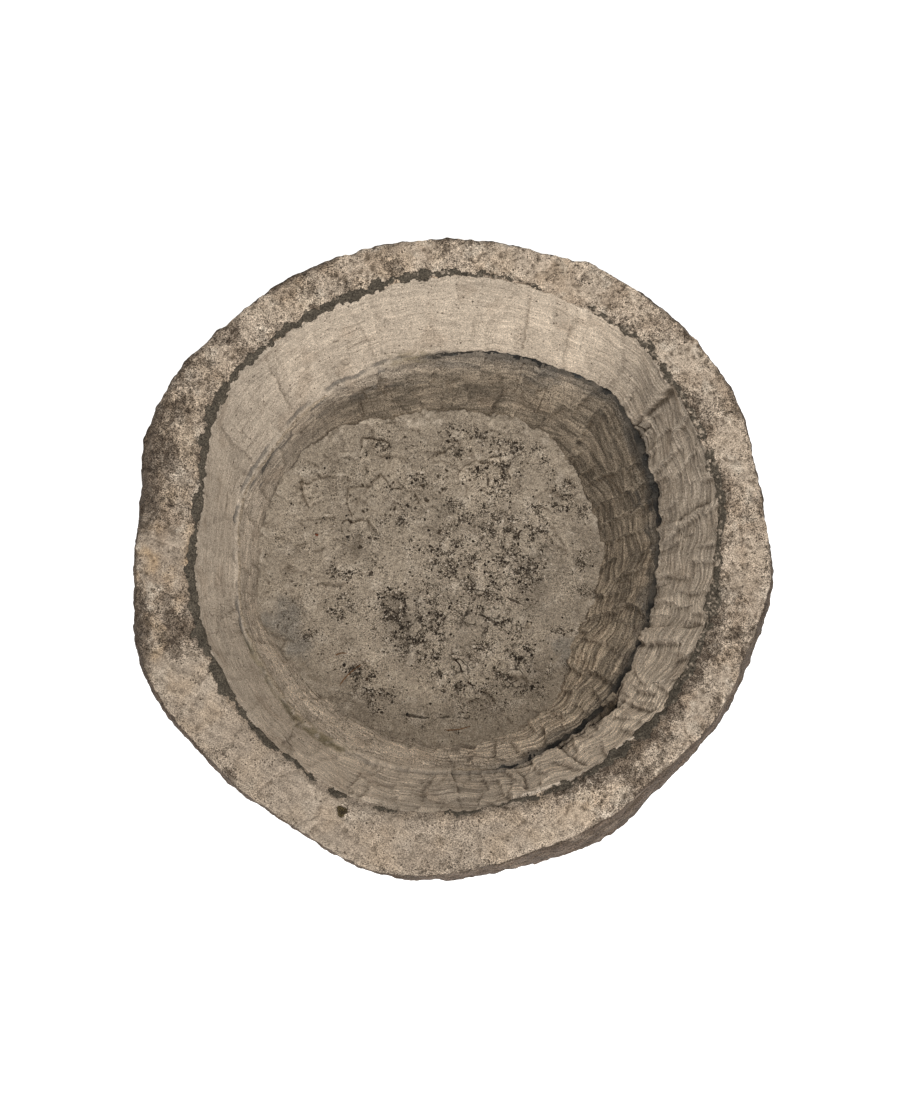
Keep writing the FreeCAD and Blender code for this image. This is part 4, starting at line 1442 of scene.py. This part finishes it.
def build_seeds():
    """Ribbed seeds with one pointed end, lying on the silt."""
    unit, triangles = ball(3)
    ribs = np.cos(SEED_RIBS * np.arctan2(unit[:, 2], unit[:, 1]))
    point = 1 - 0.35 * np.clip(unit[:, 0], 0, 1) ** 2
    shape = unit * SEED_HALF
    shape[:, 1:] *= ((1 + 0.06 * ribs) * point)[:, None]
    parts = []
    colours = []
    for (x, y, degrees), colour in zip(SEEDS, SEED_COLOURS):
        height = silt_top([[x, y, 0]])[0] + 0.85 * SEED_HALF[2]
        parts.append((turned(shape, degrees) + (x, y, height), NO_QUADS, triangles))
        colours.append(toned(colour, 1 + 0.25 * ribs))
    points, faces = gather(parts)
    seeds = new_object("dry_seeds", points, faces)
    paint(seeds, np.concatenate(colours))
    return seeds


# How many planes are struck off a chip, and how far out they lie
CHIP_BREAKS = 9
CHIP_CUT = (0.62, 0.85)


def broken_stone(size, seed):
    """Points of a broken chip: a box with random planes struck off it."""
    unit, triangles = ball(5)
    rng = np.random.default_rng(seed)
    half = np.array(size) / 2
    planes = [(axis * sign, half[i]) for i, axis in enumerate(np.eye(3)) for sign in (1, -1)]
    for _ in range(CHIP_BREAKS):
        facing = rng.normal(size=3)
        facing /= np.linalg.norm(facing)
        planes.append((facing, (np.abs(facing) @ half) * rng.uniform(*CHIP_CUT)))
    reach = np.full(len(unit), FAR)
    for facing, distance in planes:
        ahead = np.maximum(unit @ facing, 1e-6)
        reach = np.minimum(reach, distance / ahead)
    points = unit * reach[:, None]
    return toned(points, 1 + 0.05 * rough(points, 0.004, seed, 3)), triangles


# Chips: place, height, size and heading in degrees
CHIPS = [((0.1642, -0.1404), LEDGE_Z, (0.011, 0.018, 0.009), 318),
         ((0.0814, -0.0523), SILT_Z, (0.005, 0.007, 0.004), 330)]
CHIP_SINK = 0.0006


def build_chips():
    """The chip lodged in the notch and the small one on the silt."""
    parts = []
    for number, ((x, y), z, size, degrees) in enumerate(CHIPS):
        points, triangles = broken_stone(size, 500 + number)
        points = turned(points, degrees) + (x, y, 0)
        points[:, 2] += z - CHIP_SINK - points[:, 2].min()
        parts.append((points, NO_QUADS, triangles))
    points, faces = gather(parts)
    chips = new_object("broken_chips", points, faces)
    colour = toned(LOWER_STONE, 1 + 0.2 * rough(points, 0.008, 510, 4))
    paint(chips, blend(colour, DIRT_AND_SHADE, 0.5 * smooth(0, 0.6, rough(points, 0.005, 515, 3))))
    return chips


GRAIN_TRIES = 52000
GRAIN_REACH = 0.18
GRAIN_SIZES = (0.0004, 0.0016)
PALE_GRAINS = 0.22
# Share of the tries kept everywhere, and in the thick of a gritty patch
GRAIN_STRAY = 0.015
GRAIN_THICK = 0.75
# How grains are drawn out, flattened and made angular
GRAIN_STRETCH = (0.6, 1.5)
GRAIN_FLAT = (1, 1, 0.6)
GRAIN_CORNERS = (0.7, 1.2)


def on_silt(spots):
    """Which places lie over the CAD silt."""
    down = Vector((0, 0, -1))
    return np.array([SILT_TREE.ray_cast(Vector((x, y, RIM_Z)), down)[0] is not None for x, y, _ in spots])


def build_grit():
    """Angular dark grains, as thick on the silt as its gritty patches say, and half sunk in it."""
    unit, triangles = ball(1)
    rng = np.random.default_rng(520)
    tries = rng.uniform(-GRAIN_REACH, GRAIN_REACH, (GRAIN_TRIES, 3)) * (1, 1, 0) + (*SILT_CENTRE, 0)
    places = tries[rng.uniform(0, 1, GRAIN_TRIES) < GRAIN_STRAY + GRAIN_THICK * grit_cloud(tries)]
    places = places[on_silt(places)]
    places[:, 2] = silt_top(places)
    size = GRAIN_SIZES[0] + (GRAIN_SIZES[1] - GRAIN_SIZES[0]) * rng.uniform(0, 1, len(places)) ** 3
    stretch = rng.uniform(*GRAIN_STRETCH, (len(places), 1, 3)) * GRAIN_FLAT
    shape = unit[None] * size[:, None, None] * stretch
    shape = shape * rng.uniform(*GRAIN_CORNERS, (len(places), len(unit), 1))
    points = (shape + places[:, None]).reshape(-1, 3)
    first = np.arange(len(places)) * len(unit)
    faces = (triangles[None] + first[:, None, None]).reshape(-1, 3)
    grit = new_object("dark_grit", points, [faces], smooth_faces=False)
    dark = rng.uniform(0, 1, len(places)) ** 3
    colour = BLACK_SPECK + (SILT_DARK - BLACK_SPECK) * dark[:, None]
    colour = blend(colour, PALE_STONE, rng.uniform(0, 1, len(places)) < PALE_GRAINS)
    paint(grit, np.repeat(colour, len(unit), 0))
    return grit


MOSS_PLACE = (-0.1090, -0.2582)
MOSS_RADIUS = 0.0058
MOSS_LEAVES = 420
# Length of the leaves, their radius along them, how far they are turned about, and how deep they root
MOSS_LENGTH = (0.0016, 0.0034)
MOSS_LEAF = 0.00042 * np.array([0.7, 1.0, 0.75, 0.1])
MOSS_TURN = 0.8
MOSS_ROOT = 0.0004
MOSS_DARK = srgb(62, 52, 38)
MOSS_PALE = srgb(122, 106, 70)


def moss_leaf(rng, x, y, ground, turn, out):
    """Path of one leaf that leans outwards, the more so the farther out it stands."""
    length = rng.uniform(*MOSS_LENGTH) * (1.15 - 0.5 * out)
    lean = 0.3 + 0.8 * out
    lean_x = lean * math.cos(turn + rng.normal(0, MOSS_TURN))
    lean_y = lean * math.sin(turn + rng.normal(0, MOSS_TURN))
    heading = np.array([lean_x, lean_y, 1.0])
    heading /= np.linalg.norm(heading)
    share = np.linspace(0, 1, len(MOSS_LEAF))[:, None]
    droop = np.array([0, 0, 0.35 * length])
    return np.array([x, y, ground - MOSS_ROOT]) + heading * length * share - droop * share ** 2


def build_moss(stone_tree):
    """Small tuft of moss: many short pointed leaves that lean outwards from a low mound."""
    rng = np.random.default_rng(530)
    spread = MOSS_RADIUS * np.sqrt(rng.uniform(0, 1, MOSS_LEAVES))
    angle = rng.uniform(0, 2 * math.pi, MOSS_LEAVES)
    spread *= 0.75 + 0.25 * np.sin(3 * angle + 1)
    foot = np.stack([MOSS_PLACE[0] + spread * np.cos(angle), MOSS_PLACE[1] + spread * np.sin(angle)], -1)
    above = RIM_Z + MOSS_RADIUS
    parts = []
    colours = []
    for (x, y), turn, out in zip(foot, angle, spread / MOSS_RADIUS):
        ground = stone_tree.ray_cast(Vector((x, y, above)), Vector((0, 0, -1)))[0].z
        parts.append(tube(moss_leaf(rng, x, y, ground, turn, out), MOSS_LEAF, sides=5))
        tint = MOSS_DARK + (MOSS_PALE - MOSS_DARK) * rng.uniform(0, 1) ** 4
        colours.append(np.broadcast_to(tint, (len(parts[-1][0]), 3)))
    points, faces = gather(parts)
    moss = new_object("moss_leaves", points, faces)
    paint(moss, np.concatenate(colours))
    return moss


# Tool marks: how fine they run along each axis, how dark their painted shade and how pale their painted
# highlight, and their relief
MARK_SCALES = ((24, 24, 230), (14, 14, 100))
MARK_SHADE = (-0.40, 0.32)
MARK_BUMP = 0.0011
# Thin cracks along the strokes and down the wall, their widths, and their relief
ALONG_CRACKS = (7, 7, 70)
ALONG_WIDTH = 0.018
DOWN_CRACKS = (30, 30, 8)
DOWN_WIDTH = 0.007
CRACK_BUMP = -0.0008
# Nets of mud cracks: size, width and strength
CRACK_NETS = ((0.0095, 0.105, 0.9), (0.024, 0.046, 0.95))
# Dark grains: size of their clumps, how far they cover what is under them, and where they merge in blotches
CLUMP_SIZE = 0.010
GRAIN_COVER = 0.85
GRAIN_SPREAD = 0.46
BLOTCH_EDGE = (0.735, 0.785)
# Finest grain: its size against the specks, and how much stronger it is where tool marks show
FINE_SHARE = 0.5
WORN_SAND = 0.14
DULL_SHINE = 0.2
BUMP_STRENGTH = 0.8


def add_node(tree, kind, **settings):
    """A shader node with its properties and input values set by name."""
    node = tree.nodes.new(kind)
    for name, value in settings.items():
        if name in node.inputs:
            node.inputs[name].default_value = value
        else:
            setattr(node, name, value)
    return node


def attribute(tree, name):
    """Node that reads what is stored at the points of a mesh."""
    return add_node(tree, "ShaderNodeAttribute", attribute_name=name)


def ramp(tree, value, low, high, to_low=0.0, to_high=1.0):
    """A socket's range mapped to another range."""
    node = add_node(tree, "ShaderNodeMapRange")
    node.inputs["From Min"].default_value = low
    node.inputs["From Max"].default_value = high
    node.inputs["To Min"].default_value = to_low
    node.inputs["To Max"].default_value = to_high
    tree.links.new(value, node.inputs["Value"])
    return node.outputs["Result"]


def noise_field(tree, vector, size, detail, crispness=0.62):
    """Noise texture with features of one size."""
    node = add_node(tree, "ShaderNodeTexNoise", Scale=1 / size, Detail=detail, Roughness=crispness)
    tree.links.new(vector, node.inputs["Vector"])
    return node


def scaled(tree, colour, factor):
    """Colour socket times a factor socket."""
    node = add_node(tree, "ShaderNodeVectorMath", operation="MULTIPLY")
    tree.links.new(colour, node.inputs[0])
    tree.links.new(factor, node.inputs[1])
    return node.outputs["Vector"]


def towards(tree, colour, factor, target):
    """Colour socket mixed towards one fixed colour by a factor socket."""
    node = add_node(tree, "ShaderNodeMix", data_type="RGBA")
    node.inputs[7].default_value = (*target, 1)
    tree.links.new(factor, node.inputs[0])
    tree.links.new(colour, node.inputs[6])
    return node.outputs[2]


def bumped(tree, height, distance, before=None, strength=None):
    """Normal socket of a bump on top of another bump, as strong as a socket says."""
    node = add_node(tree, "ShaderNodeBump", Strength=BUMP_STRENGTH, Distance=distance)
    tree.links.new(height, node.inputs["Height"])
    if before is not None:
        tree.links.new(before, node.inputs["Normal"])
    if strength is not None:
        tree.links.new(strength, node.inputs["Strength"])
    return node.outputs["Normal"]


def combined(tree, operation, first, second):
    """A socket combined with another socket or with a set number."""
    node = add_node(tree, "ShaderNodeMath", operation=operation)
    tree.links.new(first, node.inputs[0])
    if isinstance(second, (int, float)):
        node.inputs[1].default_value = second
    else:
        tree.links.new(second, node.inputs[1])
    return node.outputs["Value"]


def drifted(tree, place, size, reach):
    """Places moved about by a noise, so that what is drawn on them bends."""
    node = add_node(tree, "ShaderNodeVectorMath", operation="MULTIPLY_ADD")
    node.inputs[1].default_value = (reach, reach, reach)
    tree.links.new(noise_field(tree, place, size, 2.0).outputs["Color"], node.inputs[0])
    tree.links.new(place, node.inputs[2])
    return node.outputs["Vector"]


def stretched(tree, vector, scale):
    """Places scaled along each axis."""
    node = add_node(tree, "ShaderNodeMapping")
    node.inputs["Scale"].default_value = scale
    tree.links.new(vector, node.inputs["Vector"])
    return node.outputs["Vector"]


def off_middle(tree, field):
    """How far a noise socket is from its middle value."""
    return combined(tree, "ABSOLUTE", combined(tree, "SUBTRACT", field, 0.5), 0.0)


def tool_marks(tree, grain):
    """Fine lines along the chisel strokes, around 0.5, with sharp dark creases between coarser ones."""
    fine = noise_field(tree, stretched(tree, grain, MARK_SCALES[0]), 1.0, 3.0).outputs["Fac"]
    coarse = noise_field(tree, stretched(tree, grain, MARK_SCALES[1]), 1.0, 2.0).outputs["Fac"]
    crease = ramp(tree, off_middle(tree, coarse), 0.0, 0.07, -0.22, 0.0)
    return combined(tree, "ADD", fine, crease)


def thin_cracks(tree, vector, width):
    """Thin wandering cracks that come and go: 1 on a crack."""
    field = noise_field(tree, vector, 1.0, 3.0).outputs["Fac"]
    line = ramp(tree, off_middle(tree, field), 0.3 * width, width, 1.0, 0.0)
    shown = ramp(tree, noise_field(tree, vector, 1.7, 1.0).outputs["Fac"], 0.51, 0.60)
    return combined(tree, "MULTIPLY", line, shown)


def mud_cracks(tree, place):
    """Broken lines of two mud-crack nets: 1 on a line."""
    lines = None
    for size, width, strength in CRACK_NETS:
        net = add_node(tree, "ShaderNodeTexVoronoi", feature="DISTANCE_TO_EDGE", Scale=1 / size)
        tree.links.new(drifted(tree, place, 0.7 * size, 0.8 * size), net.inputs["Vector"])
        line = ramp(tree, net.outputs["Distance"], 0.3 * width, width, strength, 0.0)
        shown = ramp(tree, noise_field(tree, place, 1.4 * size, 2.0).outputs["Fac"], 0.45, 0.55)
        line = combined(tree, "MULTIPLY", line, shown)
        lines = line if lines is None else combined(tree, "MAXIMUM", lines, line)
    return lines


def grains(tree, place, size, density):
    """Crisp dark grains, one at most per cell, in as many cells as the density says: 1 in a grain."""
    net = add_node(tree, "ShaderNodeTexVoronoi", Scale=1 / size)
    tree.links.new(drifted(tree, place, 0.5 * size, 0.6 * size), net.inputs["Vector"])
    split = add_node(tree, "ShaderNodeSeparateColor")
    tree.links.new(net.outputs["Color"], split.inputs["Color"])
    there = combined(tree, "LESS_THAN", split.outputs["Red"], density)
    radius = ramp(tree, split.outputs["Green"], 0.0, 1.0, 0.15, 0.55)
    inside = ramp(tree, combined(tree, "SUBTRACT", radius, net.outputs["Distance"]), 0.0, 0.07)
    return combined(tree, "MULTIPLY", there, inside)


def wear_marks(tree, place, colour, normal, cracked):
    """Draws tool marks, with painted shade and highlight on them, and cracks as strong as the wear says: new
    colour and normal, and the tool wear.
    """
    grain = attribute(tree, "Grain").outputs["Vector"]
    wear = add_node(tree, "ShaderNodeSeparateXYZ")
    tree.links.new(attribute(tree, "Wear").outputs["Vector"], wear.inputs["Vector"])
    tool_wear = wear.outputs["X"]
    marks = tool_marks(tree, grain)
    # Painted shade in the tool marks' creases and painted highlight on their crests
    shade = combined(tree, "MULTIPLY", ramp(tree, marks, 0.3, 0.7, *MARK_SHADE), tool_wear)
    colour = scaled(tree, colour, combined(tree, "ADD", shade, 1.0))
    normal = bumped(tree, marks, MARK_BUMP, normal, tool_wear)
    along = thin_cracks(tree, stretched(tree, grain, ALONG_CRACKS), ALONG_WIDTH)
    down = thin_cracks(tree, stretched(tree, grain, DOWN_CRACKS), DOWN_WIDTH)
    lines = combined(tree, "MULTIPLY", combined(tree, "MAXIMUM", along, down), wear.outputs["Y"])
    colour = towards(tree, colour, lines, DIRT_AND_SHADE)
    if cracked:
        mud = combined(tree, "MULTIPLY", mud_cracks(tree, place), wear.outputs["Z"])
        colour = towards(tree, colour, mud, BLACK_SPECK)
        lines = combined(tree, "MAXIMUM", lines, mud)
    normal = bumped(tree, combined(tree, "SUBTRACT", lines, 1.0), CRACK_BUMP, normal)
    return colour, normal, tool_wear


def grain_cover(tree, place, speck, blotch_size, thickness):
    """Dark grains of two sizes, and blotches where they lie thick: 1 where they cover the surface."""
    clump = ramp(tree, noise_field(tree, place, CLUMP_SIZE, 2.0).outputs["Fac"], 0.35, 0.65, 0.2, 1.6)
    density = combined(tree, "MULTIPLY", thickness, clump)
    small = grains(tree, place, 0.55 * speck, density)
    large = grains(tree, place, speck, density)
    blotch = noise_field(tree, place, blotch_size, 7.0, 0.75).outputs["Fac"]
    thick = combined(tree, "ADD", blotch, combined(tree, "MULTIPLY", thickness, GRAIN_SPREAD))
    blotches = ramp(tree, thick, *BLOTCH_EDGE)
    return combined(tree, "MAXIMUM", combined(tree, "MAXIMUM", small, large), blotches)


def fine_sand(tree, place, speck, contrast, thickness, tool_wear):
    """Finest light and dark grain of a surface, as a factor about 1."""
    sand = noise_field(tree, place, FINE_SHARE * speck, 3.0).outputs["Fac"]
    strength = ramp(tree, thickness, 0.05, 0.35, 1.5 * contrast, 4.2 * contrast)
    if tool_wear is not None:
        strength = combined(tree, "ADD", strength, ramp(tree, tool_wear, 0.0, 1.0, 0.0, WORN_SAND))
    sand = combined(tree, "MULTIPLY", ramp(tree, sand, 0.34, 0.66, -1.0, 0.95), strength)
    return combined(tree, "ADD", sand, 1.0)


def painted_material(name, speck, contrast, roughness, bump, grain_colour=BLACK_SPECK, blotch_size=0.007,
                     worn=False, cracked=False):
    """Surface coloured by its paint, with mottling and dark grains, and tool marks and cracks if worn."""
    material = bpy.data.materials.new(name)
    material.use_nodes = True
    tree = material.node_tree
    shader = tree.nodes["Principled BSDF"]
    shader.inputs["Roughness"].default_value = roughness
    shader.inputs["Specular IOR Level"].default_value = DULL_SHINE
    tint = attribute(tree, "Tint")
    thickness = tint.outputs["Alpha"]
    place = add_node(tree, "ShaderNodeTexCoord").outputs["Object"]
    mottle = noise_field(tree, place, speck, 6.0).outputs["Fac"]
    colour = tint.outputs["Color"]
    normal = bumped(tree, mottle, bump)
    tool_wear = None
    if worn:
        colour, normal, tool_wear = wear_marks(tree, place, colour, normal, cracked)
    cover = grain_cover(tree, place, speck, blotch_size, thickness)
    colour = towards(tree, colour, combined(tree, "MULTIPLY", cover, GRAIN_COVER), grain_colour)
    colour = scaled(tree, colour, ramp(tree, mottle, 0.3, 0.7, 1 - contrast, 1 + 0.9 * contrast))
    colour = scaled(tree, colour, fine_sand(tree, place, speck, contrast, thickness, tool_wear))
    tree.links.new(colour, shader.inputs["Base Color"])
    tree.links.new(normal, shader.inputs["Normal"])
    return material


def place_piece(piece, node, material):
    """Puts a finished piece in place of its CAD node."""
    piece.data.materials.append(material)
    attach(piece, "root")
    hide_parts(node)


def build_camera():
    """Camera at the photo's angle, aimed so that the rim's middle lands where the photo has it."""
    camera = bpy.data.cameras.new("camera")
    camera.sensor_width = SENSOR
    camera.lens = SENSOR * CAMERA_DISTANCE / (PHOTO_HEIGHT * PIXEL)
    holder = bpy.data.objects.new("camera", camera)
    bpy.context.scene.collection.objects.link(holder)
    back = Vector((0, -math.cos(CAMERA_ELEVATION), math.sin(CAMERA_ELEVATION)))
    up = Vector((0, math.sin(CAMERA_ELEVATION), math.cos(CAMERA_ELEVATION)))
    right = Vector((1, 0, 0))
    off_right = (ORIGIN_AT_PIXEL[0] - PHOTO_WIDTH / 2) * PIXEL
    off_up = (PHOTO_HEIGHT / 2 - ORIGIN_AT_PIXEL[1]) * PIXEL
    holder.location = Vector((0, 0, RIM_Z)) + back * CAMERA_DISTANCE - right * off_right - up * off_up
    holder.rotation_euler = (math.pi / 2 - CAMERA_ELEVATION, 0, 0)
    bpy.context.scene.camera = holder


KEY_PLACE = (0.45, -1.7, 2.1)
KEY_SIZE = 1.6
KEY_POWER = 41
SURROUND = 0.74
SURROUND_COLOUR = (1.0, 0.99, 0.97, 1)


def build_light():
    """Large soft key from the front, and an even pale surround."""
    key = bpy.data.lights.new("key", "AREA")
    key.energy = KEY_POWER
    key.shape = "DISK"
    key.size = KEY_SIZE
    holder = bpy.data.objects.new("key", key)
    holder.location = KEY_PLACE
    aim = Vector((0, 0, LEDGE_Z)) - holder.location
    holder.rotation_euler = aim.to_track_quat("-Z", "Y").to_euler()
    bpy.context.scene.collection.objects.link(holder)
    world = bpy.data.worlds.new("surround")
    world.use_nodes = True
    surround = world.node_tree.nodes["Background"]
    surround.inputs["Color"].default_value = SURROUND_COLOUR
    surround.inputs["Strength"].default_value = SURROUND
    bpy.context.scene.world = world
    bpy.context.scene.view_settings.view_transform = "Standard"


FLOOR_HALF = 40.0
FLOOR_GLOW = 0.7
FLOOR_GREY = 0.85
FLOOR_ROUGHNESS = 0.9


def build_floor():
    """Plain white studio floor, lit from below like a light table so that it takes no hard shadow."""
    corners = FLOOR_HALF * np.array([(-1, -1, 0), (1, -1, 0), (1, 1, 0), (-1, 1, 0)])
    floor = new_object("studio_floor", corners, [np.array([[0, 1, 2, 3]])], smooth_faces=False)
    material = bpy.data.materials.new("studio_white")
    material.use_nodes = True
    shader = material.node_tree.nodes["Principled BSDF"]
    shader.inputs["Base Color"].default_value = (FLOOR_GREY, FLOOR_GREY, FLOOR_GREY, 1)
    shader.inputs["Roughness"].default_value = FLOOR_ROUGHNESS
    shader.inputs["Emission Color"].default_value = (1, 1, 1, 1)
    shader.inputs["Emission Strength"].default_value = FLOOR_GLOW
    floor.data.materials.append(material)


cad_stone = cad_tree("trough_stone")
plain, zones = stone_rows(cad_stone)
stone, shaped = build_stone(plain, zones)

stone_look = painted_material("weathered_stone", speck=0.0024, contrast=0.22, roughness=0.92, bump=0.0008,
                              grain_colour=PATINA_AND_SHADE, worn=True)
crust_look = painted_material("dark_crust", speck=0.003, contrast=0.35, roughness=0.9, bump=0.0008)
clay_look = painted_material("blue_black_clay", speck=0.003, contrast=0.35, roughness=0.8, bump=0.0006)
silt_look = painted_material("dry_silt", speck=0.0024, contrast=0.26, roughness=0.95, bump=0.0011,
                             blotch_size=0.0034, worn=True, cracked=True)
grit_look = painted_material("grit_grains", speck=0.001, contrast=0.3, roughness=0.85, bump=0.0002)
chip_look = painted_material("chip_stone", speck=0.003, contrast=0.3, roughness=0.92, bump=0.0006)
straw_look = painted_material("dry_straw", speck=0.0015, contrast=0.35, roughness=0.7, bump=0.0002)
twig_look = painted_material("twig_bark", speck=0.0012, contrast=0.4, roughness=0.85, bump=0.0003)
seed_look = painted_material("seed_husk", speck=0.001, contrast=0.25, roughness=0.4, bump=0.0001)
moss_look = painted_material("moss", speck=0.001, contrast=0.35, roughness=0.8, bump=0.0001)

place_piece(stone, "trough_stone", stone_look)
place_piece(build_crust(shaped, zones), "mouth_crust", crust_look)
place_piece(build_clay(shaped, zones), "parting_clay", clay_look)
place_piece(build_silt(cad_stone), "floor_silt", silt_look)
place_piece(build_grit(), "grit", grit_look)
place_piece(build_chips(), "stone_chips", chip_look)
place_piece(build_straws(), "straws", straw_look)
place_piece(build_twigs(), "twigs", twig_look)
place_piece(build_seeds(), "seeds", seed_look)
place_piece(build_moss(cad_stone), "moss_tuft", moss_look)

build_camera()
build_light()
build_floor()
